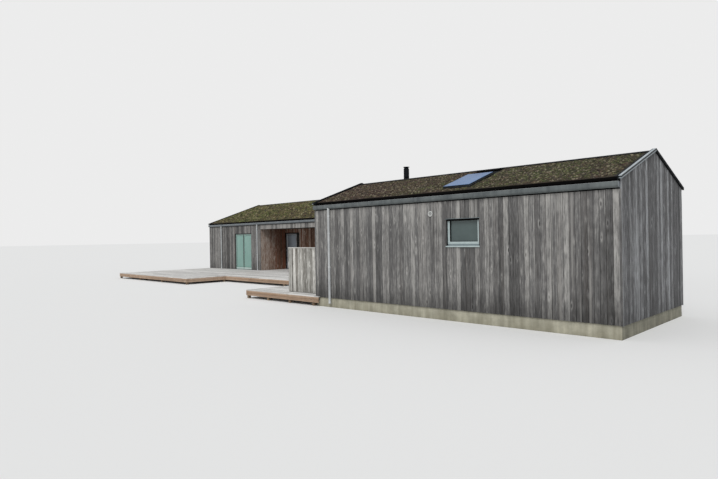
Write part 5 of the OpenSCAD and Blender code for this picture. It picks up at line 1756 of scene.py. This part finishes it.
@dataclass(frozen=True)
class HingedLeaf:
    """One glazed door leaf: stiles and rails with glazing beads, gaskets, hinge barrels and a lever.

    s and z give its sides, foot and head, hinge its axis, and swing is 1 where it hangs on its left side.
    """

    name: str
    body: str
    node: str
    place: Facing
    s: Pair
    hinge: float
    swing: int
    finish: Finish
    lever: float | None = None
    lever_turn: int = 1
    lever_up: float = 1.020
    meeting: Pair | None = None
    z: Pair = (0.330, 2.410)
    thick: float = 0.058
    stile: float = 0.075
    rail: float = 0.110
    out: float = -0.040
    hinge_out: float = 0.010

    @property
    def hinges(self) -> tuple[float, float, float]:
        """The three hinges' heights."""
        return (self.z[0] + 0.200, (self.z[0] + self.z[1]) / 2, self.z[1] - 0.300)

    def knuckle(self, draft: Draft, foot: float, leaf: bool, number: int) -> None:
        """Adds half a hinge: its barrel, its plate and two screw heads."""
        axis = self.out + self.hinge_out
        reach = self.swing if leaf else -self.swing
        self.place.barrel(draft, self.hinge, axis, (foot, foot + 0.050), 0.008, number)
        self.place.block(draft, (self.hinge, self.hinge + reach * 0.030), (axis - 0.010, axis - 0.0065),
                         (foot, foot + 0.050), 0.001, number)
        screw = [(0.0045, axis - 0.0066), (0.0040, axis - 0.0055), (0.0015, axis - 0.0052)]
        for up in (0.012, 0.038):
            self.place.disc(draft, self.hinge + reach * 0.020, foot + up, screw, 10, number)

    def handle(self, draft: Draft, number: int) -> None:
        """Adds the plates, spindle collars and bent levers on both faces, and a lock on the outer one."""
        up = self.z[0] + self.lever_up
        angle, bend = turns(12), np.linspace(0, np.pi / 2, 6)
        along, reach, slope, size = np.stack([
            np.concatenate([[0.0, 0.0], 0.016 * (1 - np.cos(bend)), [0.060, 0.100, 0.116, 0.120]]),
            np.concatenate([[0.006, 0.020], 0.025 + 0.016 * np.sin(bend), [0.041] * 4]),
            np.concatenate([[0.0, 0.0], bend, [np.pi / 2] * 4]),
            [0.0085] * 9 + [0.0080, 0.0065, 0.0030]])[..., None]
        across = size * np.cos(angle)
        s = self.lever + self.lever_turn * (along + across * np.cos(slope))
        z = up + size * np.sin(angle) * np.where(slope > 1, 1.15, 1.0)
        for face, sign in ((self.out, 1), (self.out - self.thick, -1)):
            self.place.block(draft, (self.lever - 0.015, self.lever + 0.015), (face, face + sign * 0.006),
                             (up - 0.110, up + 0.070), 0.002, number)
            collar = np.array([(0.013, 0.005), (0.013, 0.011), (0.009, 0.013)]) * (1, sign) + (0, face)
            self.place.disc(draft, self.lever, up, collar, 20, number)
            out = face + sign * (reach - across * np.sin(slope))
            draft.loft(self.place.to_site(s, out, z), number=number, soft=True)
        lock = [(0.008, self.out + 0.005), (0.008, self.out + 0.008), (0.006, self.out + 0.009),
                (0.001, self.out + 0.008)]
        self.place.disc(draft, self.lever, up - 0.075, lock, 16, number)

    def build(self) -> None:
        """Builds the leaf on its body."""
        draft = Draft(seed_of(self.name))
        near, far = self.out, self.out - self.thick
        inward = np.array([0, 0, 0.002, 0.064, 0.068, 0.071, 0.075, 0.075, 0.071, 0.064])
        out = np.array([far, near - 0.002, near, near, near - 0.004, near - 0.011, near - 0.015, far + 0.015,
                        far + 0.008, far])
        more = self.rail - self.stile
        sides = np.stack([inward, out], 1)
        foot = np.stack([inward + np.where(inward > 0.05, more, 0.0), out], 1)
        self.place.ring(draft, self.s, self.z, sides, foot)
        gasket = np.array([(0.074, near - 0.017), (0.074, near - 0.0135), (0.0805, near - 0.0155),
                           (0.0805, near - 0.017)])
        self.place.ring(draft, self.s, self.z, gasket, gasket + (more, 0.0), number=2)
        if self.meeting is not None:
            self.place.block(draft, self.meeting, (near - 0.001, near + 0.001),
                             (self.z[0] + 0.004, self.z[1] - 0.004), 0.0005, 2)
            self.place.block(draft, (self.s[0] + 0.012, self.s[1] - 0.012), (near - 0.001, near + 0.002),
                             (self.z[0] + 0.006, self.z[0] + 0.104), 0.0008, 3)
        for foot_z in self.hinges:
            self.knuckle(draft, foot_z + 0.0503, True, 1)
        if self.lever is not None:
            self.handle(draft, 1)
        finishes = (self.finish, HINGE_STEEL, GASKET, PALE_PAINT)
        draft.piece(self.name, "door_paint", finishes, (self.node,), self.body)


@dataclass(frozen=True)
class DoorFrame:
    """A door's frame: jambs and head with a rebate, seals, a metal sill, inner lining and hinge halves."""

    name: str
    slot: str
    node: str
    place: Facing
    s: Pair
    finish: Finish
    leaves: tuple[HingedLeaf, ...]
    mullion: float | None = None
    z: Pair = (0.280, 2.470)
    out: float = -0.040

    def build(self) -> None:
        """Builds the frame as one piece."""
        draft = Draft(seed_of(self.name))
        near, far, back = self.out, self.out - 0.110, self.out - 0.063
        side = np.array([(0, far), (0, near), (0.051, near), (0.055, near - 0.004), (0.055, back),
                         (0.070, back), (0.070, far)])
        low = side.copy()
        low[2:, 0] = (0.041, 0.045, 0.045, 0.060, 0.060)
        self.place.ring(draft, self.s, self.z, side, low)
        up = (back + 0.0005, back + 0.004, back + 0.004, back + 0.0005)
        seal, seal_low = (list(zip((near_edge, near_edge, far_edge, far_edge), up))
                          for near_edge, far_edge in ((0.0555, 0.066), (0.0455, 0.056)))
        self.place.ring(draft, self.s, self.z, seal, seal_low, number=2)
        lining = [(0.0, -SIZES.wall), (0.0, far - 0.001), (0.014, far - 0.001), (0.014, -SIZES.wall)]
        self.place.ring(draft, self.s, self.z, lining, number=3)
        board = [(0.0, near - 0.001), (0.0, -0.004), (0.012, -0.004), (0.012, near - 0.001)]
        sill = [(near + 0.001, self.z[0] + 0.006), (-0.004, self.z[0] + 0.006), (-0.004, self.z[0] + 0.016),
                (-0.008, self.z[0] + 0.019), (near + 0.001, self.z[0] + 0.026)]
        foot = [(min(inward, 0.004), out) for inward, out in board]
        # Near-black reveal boards round the door: painted shade in the reveal.
        self.place.ring(draft, self.s, self.z, board, foot, number=4)
        self.place.bar(draft, (self.s[0] + 0.013, self.s[1] - 0.013), sill, number=1)
        if self.mullion is not None:
            z = (self.z[0] + 0.045, self.z[1] - 0.055)
            self.place.block(draft, (self.mullion, self.mullion + 0.055), (far, near), z, 0.003)
            self.place.block(draft, (self.mullion - 0.015, self.mullion), (far, back), z, 0.002)
        for leaf in self.leaves:
            for foot in leaf.hinges:
                leaf.knuckle(draft, foot, False, 1)
        finishes = (self.finish, HINGE_STEEL, GASKET, LINING, BLACK_BOARDS_AND_SHADE)
        draft.piece(self.name, self.slot, finishes, (self.node,))


@dataclass(frozen=True)
class Doors:
    """The terrace door's two leaves and the porch door's one, with their frames and glass."""

    terrace: Facing = Facing((0.0, 7.3), (0, -1))
    porch: Facing = Facing((0.0, 9.1), (0, -1))

    def build(self) -> None:
        """Builds the leaves on their bodies, then the frames, then dresses the glass."""
        left = HingedLeaf("terrace_left_leaf_members", "terrace_door_left", "terrace_leaf_left",
                          self.terrace, (3.070, 3.8775), 3.0675, 1, DOOR_PAINT, meeting=(3.848, 3.8765))
        right = HingedLeaf("terrace_right_leaf_members", "terrace_door_right", "terrace_leaf_right",
                           self.terrace, (3.8825, 4.690), 4.6925, -1, DOOR_PAINT, lever=3.930,
                           meeting=(3.8835, 3.9120))
        porch = HingedLeaf("porch_leaf_members", "porch_door", "porch_leaf",
                           self.porch, (5.760, 6.720), 5.7575, 1, PORCH_LEAF, lever=6.6825, lever_turn=-1)
        for leaf in (left, right, porch):
            leaf.build()
        DoorFrame("terrace_door_frame_members", "door_paint", "terrace_door_frame", self.terrace,
                  (3.010, 4.750), FRAME_SHADE_PAINT, (left, right)).build()
        DoorFrame("porch_door_frame_members", "dark_paint", "porch_door_frame", self.porch,
                  (5.700, 7.020), DARK_PAINT, (porch,), mullion=6.725).build()
        dress(DOOR_GLASS, "terrace_glass_left", "terrace_glass_right")
        dress(PORCH_REFLECTION_GLASS, "porch_leaf_glass")
        dress(SIDE_GLASS, "porch_side_glass")


@dataclass(frozen=True)
class Skylight:
    """The roof window: a slim dark frame, a flat pane over it, and flashing from the sedum to the ridge."""

    x: float = 23.620
    wide: float = 0.780
    long: float = 1.200
    inward: float = 0.340
    flashing: float = 0.090

    def on_slope(self, points: Array) -> Array:
        """Takes places along X, up the slope and square to it to the site."""
        turn = SIZES.turn
        along, up, out = np.moveaxis(points, -1, 0)
        return places(self.x + along, self.inward + up * math.cos(turn) - out * math.sin(turn),
                      SIZES.roof(self.inward) + up * math.sin(turn) + out * math.cos(turn))

    def ring(self, draft: Draft, x: Pair, u: Pair, profile: Any, number: int = 0) -> None:
        """Adds a mitred frame on the slope: its profile is places in from the edge and up."""
        edge, up = np.array(profile).T
        left, right, foot, head = x[0] + edge, x[1] - edge, u[0] + edge, u[1] - edge
        corners = ((left, foot), (right, foot), (right, head), (left, head))
        draft.loft(self.on_slope(np.stack([places(*at, up) for at in corners])), number=number, closed=True)

    def build(self) -> None:
        """Builds the frame, the pane and the flashing as three pieces."""
        x, u = (0.0, self.wide), (0.0, self.long)
        frame = Draft(91)
        self.ring(frame, x, u, [(0.0, -0.178), (0.0, 0.060), (0.0, 0.070), (0.004, 0.074), (0.004, 0.096),
                                (0.006, 0.098), (0.040, 0.098), (0.040, -0.178)])
        seal = [(0.0005, 0.0985), (0.0005, 0.104), (0.0075, 0.104), (0.0075, 0.0985)]
        self.ring(frame, x, u, seal, number=1)
        for place in (0.18, 0.60):
            frame.boxes([place, 0.0, 0.076], [place + 0.05, 0.004, 0.092], 0.001, turn=self.on_slope)
        frame.piece("skylight_frame_members", "skylight_metal", (DARK_METAL, GASKET), ("skylight_frame",))
        # The pane's opaque blue with little shine is a painted reflection of the sky.
        pane = Draft(92)
        pane.boxes([0.008, 0.008, 0.0983], [self.wide - 0.008, self.long - 0.008, 0.1103], 0.0015,
                   tones=[[0.5, 0.5, 0.5]], turn=self.on_slope)
        pane.piece("skylight_pane", "clear_glass", (SKY_REFLECTION_GLASS,), ("skylight_glass",))
        flat = Draft(93)
        reach = (SIZES.front.half - self.inward) / math.cos(SIZES.turn) - 0.022
        f = self.flashing
        for x0, x1, u0, u1 in ((-f, 0.0, 0.0, self.long), (self.wide, self.wide + f, 0.0, self.long),
                               (-f, self.wide + f, -f, 0.0), (-f, self.wide + f, self.long, reach)):
            flat.boxes([x0 + 0.0005, u0 + 0.0005, 0.0005], [x1 - 0.0005, u1 - 0.0005, 0.0040], 0.0005,
                       turn=self.on_slope)
        for x0 in (-f, self.wide + f - 0.010):
            flat.boxes([x0, -f, 0.0038], [x0 + 0.010, reach, 0.016], 0.002, turn=self.on_slope)
        for x0 in (-0.004, self.wide + 0.001):
            flat.boxes([x0, 0.0, 0.0038], [x0 + 0.003, self.long, 0.060], 0.001, turn=self.on_slope)
        flat.boxes([-0.004, -0.004, 0.0038], [self.wide + 0.004, -0.001, 0.050], 0.001, turn=self.on_slope)
        flat.boxes([0.0, self.long + 0.001, 0.0038], [self.wide, self.long + 0.030, 0.055], 0.004,
                   turn=self.on_slope)
        flat.piece("skylight_flashing_folds", "skylight_metal", (BLACK_METAL_AND_SHADE,), ("skylight_flashing",))


@dataclass(frozen=True)
class Flue:
    """The flue: a jacket in lengths with locking bands, a storm collar, and a cap on a narrower neck."""

    x: float = 13.750
    from_ridge: float = 0.350
    radius: float = 0.125
    jacket: float = 0.140
    top: float = 5.7404
    plate: float = 0.540
    band: Outline = ((0.0, 0.0), (0.003, 0.004), (0.003, 0.022), (0.0005, 0.026), (0.003, 0.030),
                     (0.003, 0.048), (0.0, 0.052))

    @property
    def inward(self) -> float:
        """How far in from the wall's face its axis stands."""
        return SIZES.rear.half - self.from_ridge

    def lathe(self, draft: Draft, profile: Any) -> None:
        """Turns a profile of radii and heights about the flue's axis."""
        draft.loft(turned(self.x, SIZES.rear.y0 + self.inward, profile, 36), soft=True)

    def build(self) -> None:
        """Builds the flue and its flashing as two pieces."""
        self.pipe()
        self.skirt()

    def pipe(self) -> None:
        """Builds the pipe with its jacket, locking bands, cap and storm collar."""
        foot, roof = SIZES.under(self.inward) + 0.002, SIZES.roof(self.inward)
        r, wide, neck = self.radius, self.jacket, self.top - 0.075
        pipe = Draft(95)
        jacket = [(r - 0.001, foot), (r, roof + 0.310), (wide - 0.004, roof + 0.330)]
        for band in (roof + 0.34, roof + 0.86):
            jacket += [(wide + out, band + up) for out, up in self.band]
        self.lathe(pipe, jacket + [(wide, neck - 0.035), (r * 0.96, neck), (r * 0.86, neck),
                                   (r * 0.86, self.top - 0.013)])
        self.lathe(pipe, [(r * 1.26, self.top - 0.030), (r * 1.30, self.top - 0.030),
                          (r * 1.30, self.top - 0.012), (r * 1.22, self.top - 0.004), (r * 0.30, self.top),
                          (r * 0.10, self.top)])
        self.lathe(pipe, [(r * 1.02, roof + 0.262), (r * 1.24, roof + 0.264), (r * 1.25, roof + 0.268),
                          (r * 1.06, roof + 0.300), (r * 1.01, roof + 0.306)])
        pipe.piece("flue_lengths_and_cap", "flue_steel", (FLUE_STEEL,), ("flue",))

    def skirt(self) -> None:
        """Builds the flashing: a skirt whose foot leans with the slope, on a plate with raised edges."""
        skirt, roof = Draft(96), SIZES.roof(self.inward)
        angle, y = turns(36), SIZES.rear.y0 + self.inward
        rings = []
        for radius, up in ((0.212, 0.004), (0.206, 0.010), (0.180, 0.060), (0.150, 0.150), (0.131, 0.250),
                           (0.129, 0.259)):
            along, across = radius * np.cos(angle), radius * np.sin(angle)
            lean = SIZES.slope * across * max(0.0, 1 - up / 0.2)
            rings.append(places(self.x + along, y + across, roof + up + lean))
        skirt.loft(np.stack(rings), soft=True)
        half, cos, sin = self.plate / 2, math.cos(SIZES.turn), math.sin(SIZES.turn)
        sheet = [[-half, -half, 0.0005], [half, half, 0.0042]]
        for low, high in (sheet, [[-half, -half, 0.004], [-half + 0.010, half, 0.014]],
                          [[half - 0.010, -half, 0.004], [half, half, 0.014]],
                          [[-half, half - 0.010, 0.004], [half, half, 0.014]]):
            skirt.boxes(low, high, 0.001, turn=lambda p: places(
                self.x + p[:, 0], y + p[:, 1] * cos - p[:, 2] * sin, roof + p[:, 1] * sin + p[:, 2] * cos))
        skirt.piece("flue_skirt_and_plate", "skylight_metal", (DARK_METAL,), ("flue_flashing",))


@dataclass(frozen=True)
class Vent:
    """The round wall vent: a pale rim, a flat black disc that paints the shade in its throat, and tilted
    blades.
    """

    x: float = 23.450
    z: float = 2.640
    radius: float = 0.070

    def build(self) -> None:
        """Builds rim, throat and blades as one piece."""
        draft = Draft(97)
        place = Facing((self.x, 0.0), (0, -1))
        r = self.radius
        rim = [(0.048, 0.0005), (r - 0.001, 0.0005), (r, 0.006), (r - 0.001, 0.017), (r - 0.006, 0.0240),
               (r - 0.014, 0.0248), (r - 0.020, 0.021), (0.048, 0.010)]
        place.disc(draft, 0.0, self.z, rim, 40, closed=True)
        # A flat black disc behind the blades: painted shade in the vent's throat.
        throat_shade = [(0.047, 0.0008), (0.047, 0.004), (0.020, 0.005), (0.002, 0.005)]
        place.disc(draft, 0.0, self.z, throat_shade, 32, 1)
        for up in np.linspace(-0.036, 0.036, 5):
            half, at = math.sqrt(0.0475 ** 2 - up ** 2), self.z + up
            place.bar(draft, (-half, half), [(0.006, at + 0.006), (0.006, at + 0.004), (0.018, at - 0.007),
                                             (0.018, at - 0.005)])
        draft.piece("wall_vent_rim_and_blades", "vent_plastic", (VENT_PLASTIC, GASKET), ("wall_vent",))


@dataclass(frozen=True)
class RidgeCaps:
    """The dark folded sheets on the ridges, in lengths that lap."""

    reach: float = 0.130
    length: float = 1.5
    gap: float = 0.0005
    lap: float = 0.035
    sheet: Pair = (0.0556, 0.0585)
    sleeve: Pair = (0.0570, 0.0594)

    def build(self) -> None:
        """Builds each length of both caps as one folded loft, and a sleeve over each lap."""
        draft = Draft(33)
        for wing in (SIZES.front, SIZES.rear):
            lengths = spans(wing.x0 - SIZES.verge_out + SIZES.verge_wide,
                            wing.x1 + SIZES.verge_out - SIZES.verge_wide, self.length)
            for first, last in lengths:
                self.fold(draft, wing, (first + self.gap, last - self.gap), self.reach, *self.sheet)
            for lap, _ in lengths[1:]:
                self.fold(draft, wing, (lap - self.lap, lap + self.lap), self.reach - 0.001, *self.sleeve)
        draft.piece("ridge_cap_lengths", "dark_metal", (BLACK_METAL_AND_SHADE,), ("ridge_caps",))

    def fold(self, draft: Draft, wing: Wing, x: Pair, reach: float, low: float, high: float) -> None:
        """Adds a length of folded sheet between two heights over the roof deck's top."""
        peak = wing.half
        half = np.array([peak - reach, peak - reach + 0.012, peak - 0.014, peak])
        top, under = SIZES.roof(half) + high, SIZES.roof(half) + low
        top[-1] -= 0.002
        y = np.concatenate([wing.y0 + half, wing.y1 - half[-2::-1]])
        top, under = (np.concatenate([edge, edge[-2::-1]]) for edge in (top, under))
        draft.loft(along_x(x, np.concatenate([y, y[::-1]]), np.concatenate([top, under[::-1]])))


@dataclass(frozen=True)
class EaveBoards:
    """The near-black boards over the gutters, in lengths with butt joints. Their black is partly their own
    colour and partly painted shade.
    """

    length: float = 4.2
    upstand: float = 0.038
    end: float = 0.025

    def build(self) -> None:
        """Builds the lower board and the upstand beside the mat on all four eaves."""
        draft = Draft(35)
        low, step = SIZES.under(SIZES.eave_in), SIZES.roof(SIZES.board_in) - 0.001
        inner = SIZES.verge_wide - SIZES.verge_out
        for wing in (SIZES.front, SIZES.rear):
            for side in (0, 1):
                y0, y1 = wing.across(side, SIZES.board_in), wing.across(side, SIZES.eave_in)
                for end, z0, z1 in ((self.end, low, step), (inner, step, SIZES.eave + self.upstand)):
                    for a, b in spans(wing.x0 + end, wing.x1 - end, self.length):
                        draft.boxes([a + 0.001, y0, z0], [b - 0.001, y1, z1], 0.003)
        draft.piece("eave_board_lengths", "dark_boards", (BLACK_BOARDS_AND_SHADE,), ("eave_boards",))


@dataclass(frozen=True)
class Joinery:
    """The porch's ceiling boards and the floor boards inside, laid along X with open joints."""

    ceiling: Area = (5.7, 10.7, 7.6, 9.1)
    floors: tuple[Area, ...] = ((19.3, 27.7, 0.3, 3.9), (19.3, 20.7, 3.9, 7.6), (0.3, 5.4, 7.6, 9.4),
                                (11.0, 20.7, 7.6, 9.4), (0.3, 20.7, 9.4, 14.8))
    gap: Pair = (0.0006, 0.001)
    thick: float = 0.022

    def rows(self, draft: Draft, area: Area, foot: float, step: float, length: float) -> None:
        """Lays boards over an area given by its sides."""
        x0, x1, y0, y1 = area
        for row in spans(y0, y1, step):
            first = x0 + draft.random.uniform(0.3, 1.0) * length
            cuts = np.concatenate([[x0], np.arange(first, x1 - 0.4, length), [x1]])
            lay_row(draft, cuts, row, (foot, foot + self.thick), self.gap, 0.002)

    def build(self) -> None:
        """Builds the ceiling and the floor as two pieces."""
        ceiling = Draft(37)
        self.rows(ceiling, self.ceiling, 2.680, 0.120, 3.6)
        ceiling.piece("porch_ceiling_boards", "dark_boards", (CEILING_BOARDS,), ("porch_ceiling",))
        floor = Draft(38)
        for area in self.floors:
            self.rows(floor, area, SIZES.plinth, 0.160, 2.4)
        floor.piece("floor_board_rows", "floor_wood", (FLOOR_WOOD,), ("floor_boards",))


@dataclass(frozen=True)
class Plinths:
    """The foundations: cast walls with softened arrises, formwork joints and a slightly wavy face.

    levels gives the joints' heights as shares of the whole, dents how far in the face stands there.
    """

    margin: float = 0.030
    thick: float = 0.060
    end: float = 0.005
    porch: Pair = (5.7, 10.7)
    porch_back: float = 9.1
    porch_low: float = 0.127
    levels: tuple[float, ...] = (0.0, 0.043, 0.321, 0.336, 0.661, 0.675, 0.971, 1.0)
    dents: tuple[float, ...] = (0.004, 0.0, 0.0, 0.002, 0.0015, 0.003, 0.001, 0.006)
    wave: float = 0.002

    def skin(self, draft: Draft, start: Pair, outward: Pair, span: Pair, head: float,
             number: int = 0) -> None:
        """Adds a closed slab from the ground up to a head, with joints and a slow wave in its outer face."""
        face = Facing(start, outward)
        s = np.linspace(*span, max(2, round((span[1] - span[0]) / 0.30)) + 1)[:, None]
        height = head * np.array(self.levels)
        wave = value_noise(s + 3.0 * start[0], height * 4 + start[1], 0.35, 7) * self.wave
        front = face.to_site(s, -np.array(self.dents) - wave, height)
        back = face.to_site(s, -self.thick, np.array([head, 0.0]))
        draft.loft(np.concatenate([front, back], axis=1), number=number)

    def build(self) -> None:
        """Builds each foundation as one piece: four faces, and a body that fills them."""
        p, top, end, thick = self.margin, SIZES.plinth, self.end, self.thick
        (left, right), low = self.porch, self.porch_low
        for name, node, seed, x0, x1, y0, y1 in (
                ("front_plinth", "front_foundation", 25, 19.0 + p, 28.0 - p, p, 4.2 - p),
                ("rear_plinth", "rear_foundation", 26, p, 21.0 - p, 7.3 + p, 15.1 - p),
                ("link_plinth", "link_foundation", 27, 19.0 + p, 21.0 - p, 4.2 - p, 7.3 + p)):
            draft = Draft(seed)
            across, along = (end, y1 - y0 - end), (end, x1 - x0 - end)
            inner, outer = (x0 + thick, y0 + thick), (x1 - thick, y1 - thick)
            # The gable ends take finish 1, a darker copy of the concrete: painted shade.
            self.skin(draft, (x1, y0), (1, 0), across, top, 1)
            self.skin(draft, (x1, y1), (0, 1), along, top)
            self.skin(draft, (x0, y1), (-1, 0), across, top, 1)
            if node == "rear_foundation":
                fronts = (((end, left - x0), top), ((left - x0, right - x0), low),
                          ((right - x0, along[1]), top))
                starts = ((*inner, 0.001), (*inner, low), (right, inner[1], low),
                          (left, self.porch_back, low))
                ends = ((*outer, low), (left, outer[1], top), (*outer, top), (right, outer[1], top))
            else:
                fronts = ((along, top),)
                starts, ends = ((*inner, 0.001),), ((*outer, top - 0.0005),)
            for span, head in fronts:
                self.skin(draft, (x0, y0), (0, -1), span, head)
            draft.boxes(starts, ends, 0.001)
            draft.piece(name, "concrete", (CONCRETE, SHADED_GABLE_CONCRETE), (node,))


@dataclass(frozen=True)
class LinkRoof:
    """The link's flat roof: felt in laid widths, and raised edges under dark folded sheets."""

    area: Area = (19.0, 21.0, 4.2, 7.3)
    low: float = 2.680
    top: float = 2.860
    edge: float = 2.910
    rim: float = 0.085
    felt_wide: float = 0.775
    felt_lap: float = 0.080

    def build(self) -> None:
        """Builds the roof as one piece."""
        draft = Draft(39)
        (x0, x1, y0, y1), low, rim, edge = self.area, self.low, self.rim, self.edge
        felt = self.top - 0.006
        draft.boxes([x0, y0, low], [x1, y1, felt], 0.003)
        for number, (a, b) in enumerate(spans(y0, y1, self.felt_wide)):
            upper = self.top - 0.004 + 0.0035 * (number % 2)
            draft.boxes([x0 + rim, a, felt], [x1 - rim, min(b + self.felt_lap, y1), upper], 0.002)
        for x in (x0, x1 - rim):
            draft.boxes([x + 0.003, y0 + 0.001, low], [x + rim - 0.003, y1 - 0.001, edge - 0.004], 0.004)
            draft.boxes([x, y0 + 0.0005, edge - 0.055], [x + rim, y1 - 0.0005, edge], 0.004, number=1)
        draft.piece("link_roof_felt_and_edges", "roofing", (ROOFING, DARK_METAL), ("link_roof",))


@dataclass(frozen=True)
class Studio:
    """The plain floor, the soft light and the camera at the photograph's angle."""

    eye: tuple[float, float, float] = (17.672, -18.443, 2.050)
    turn: float = math.radians(44.64)
    pitch: float = math.radians(-0.1)
    roll: float = math.radians(-0.96)
    lens: float = 27.02
    backdrop: float = 0.84

    def camera(self) -> None:
        """Places the camera: it looks left of +Y by its turn, tips by its pitch and leans by its roll."""
        data = bpy.data.cameras.new("camera")
        data.lens = self.lens
        data.sensor_width = 36.0
        data.clip_end = 2000.0
        made = shown("camera", data)
        ahead = np.array([-math.sin(self.turn) * math.cos(self.pitch),
                          math.cos(self.turn) * math.cos(self.pitch), math.sin(self.pitch)])
        level = np.array([math.cos(self.turn), math.sin(self.turn), 0.0])
        above = np.cross(level, ahead)
        right = level * math.cos(self.roll) + above * math.sin(self.roll)
        up = above * math.cos(self.roll) - level * math.sin(self.roll)
        turned = Matrix(np.stack([right, up, -ahead], axis=1).tolist()).to_4x4()
        made.matrix_world = Matrix.Translation(Vector(self.eye)) @ turned
        bpy.context.scene.camera = made

    def floor(self) -> None:
        """Lays a pale floor far past the house."""
        half = 700.0
        mesh = bpy.data.meshes.new("studio_floor")
        mesh.from_pydata([(-half, -half, -0.001), (half, -half, -0.001), (half, half, -0.001),
                          (-half, half, -0.001)], [], [(0, 1, 2, 3)])
        material = bpy.data.materials.new("studio_floor")
        material.use_nodes = True
        shader = material.node_tree.nodes["Principled BSDF"]
        shader.inputs["Base Color"].default_value = (0.80, 0.80, 0.79, 1.0)
        shader.inputs["Roughness"].default_value = 0.95
        shader.inputs["Specular IOR Level"].default_value = 0.0
        mesh.materials.append(material)
        shown("studio_floor", mesh)

    def light(self) -> None:
        """Hangs one wide soft lamp, and makes the world light the rest. The camera sees a pale backdrop."""
        data = bpy.data.lights.new("soft_lamp", "SUN")
        data.energy = 1.7
        data.angle = math.radians(28)
        made = shown("soft_lamp", data)
        made.rotation_mode = "QUATERNION"
        made.rotation_quaternion = Vector((-0.42, 0.72, -0.85)).to_track_quat("-Z", "Y")
        world = bpy.data.worlds.new("studio_world")
        bpy.context.scene.world = world
        world.use_nodes = True
        world.node_tree.nodes.clear()
        tree = Tree(world.node_tree)
        path = tree.put("ShaderNodeLightPath").outputs
        seen = tree.sum("MAXIMUM", path["Is Camera Ray"], path["Is Glossy Ray"])
        seen = tree.sum("MAXIMUM", seen, path["Is Transmission Ray"])
        lit = tree.put("ShaderNodeBackground", {"Color": (0.97, 0.98, 1.0, 1.0), "Strength": 0.6}).outputs[0]
        pale = tree.put("ShaderNodeBackground", {"Color": (1.0, 1.0, 1.0, 1.0), "Strength": self.backdrop})
        mixed = tree.put("ShaderNodeMixShader", {0: seen, 1: lit, 2: pale.outputs[0]}).outputs[0]
        tree.put("ShaderNodeOutputWorld", {"Surface": mixed})

    def build(self) -> None:
        """Sets the view transform, and makes the camera, floor and lamps."""
        bpy.context.scene.view_settings.view_transform = "Standard"
        self.camera()
        self.floor()
        self.light()


def main() -> None:
    """Builds and dresses each sub-assembly in order."""
    logging.basicConfig(level=logging.INFO, format="%(name)s %(message)s")
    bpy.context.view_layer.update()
    front, rear = SIZES.front, SIZES.rear
    Studio().build()
    Cladding().build()
    SedumRoof("front_sedum", front, FRONT_SEDUM, 0.06, (400, 110), (0.016, 0.040),
              (23.60, 24.42, 0.322, 9.0), 71).build()
    SedumRoof("rear_sedum", rear, REAR_SEDUM, 0.12, (95, 45), (0.034, 0.085),
              (13.48, 14.02, 3.2947, 3.8053), 81).build()
    VergeCaps().build()
    RidgeCaps().build()
    EaveBoards().build()
    RainGoods().build()
    Windows().build()
    Doors().build()
    Skylight().build()
    Flue().build()
    Vent().build()
    LinkRoof().build()
    Plinths().build()
    Joinery().build()
    Deck().build()
    Screen().build()
    dress(ROOFING, "front_roof_south", "front_roof_north", "rear_roof_south", "rear_roof_north")


if __name__ == "__main__":
    main()
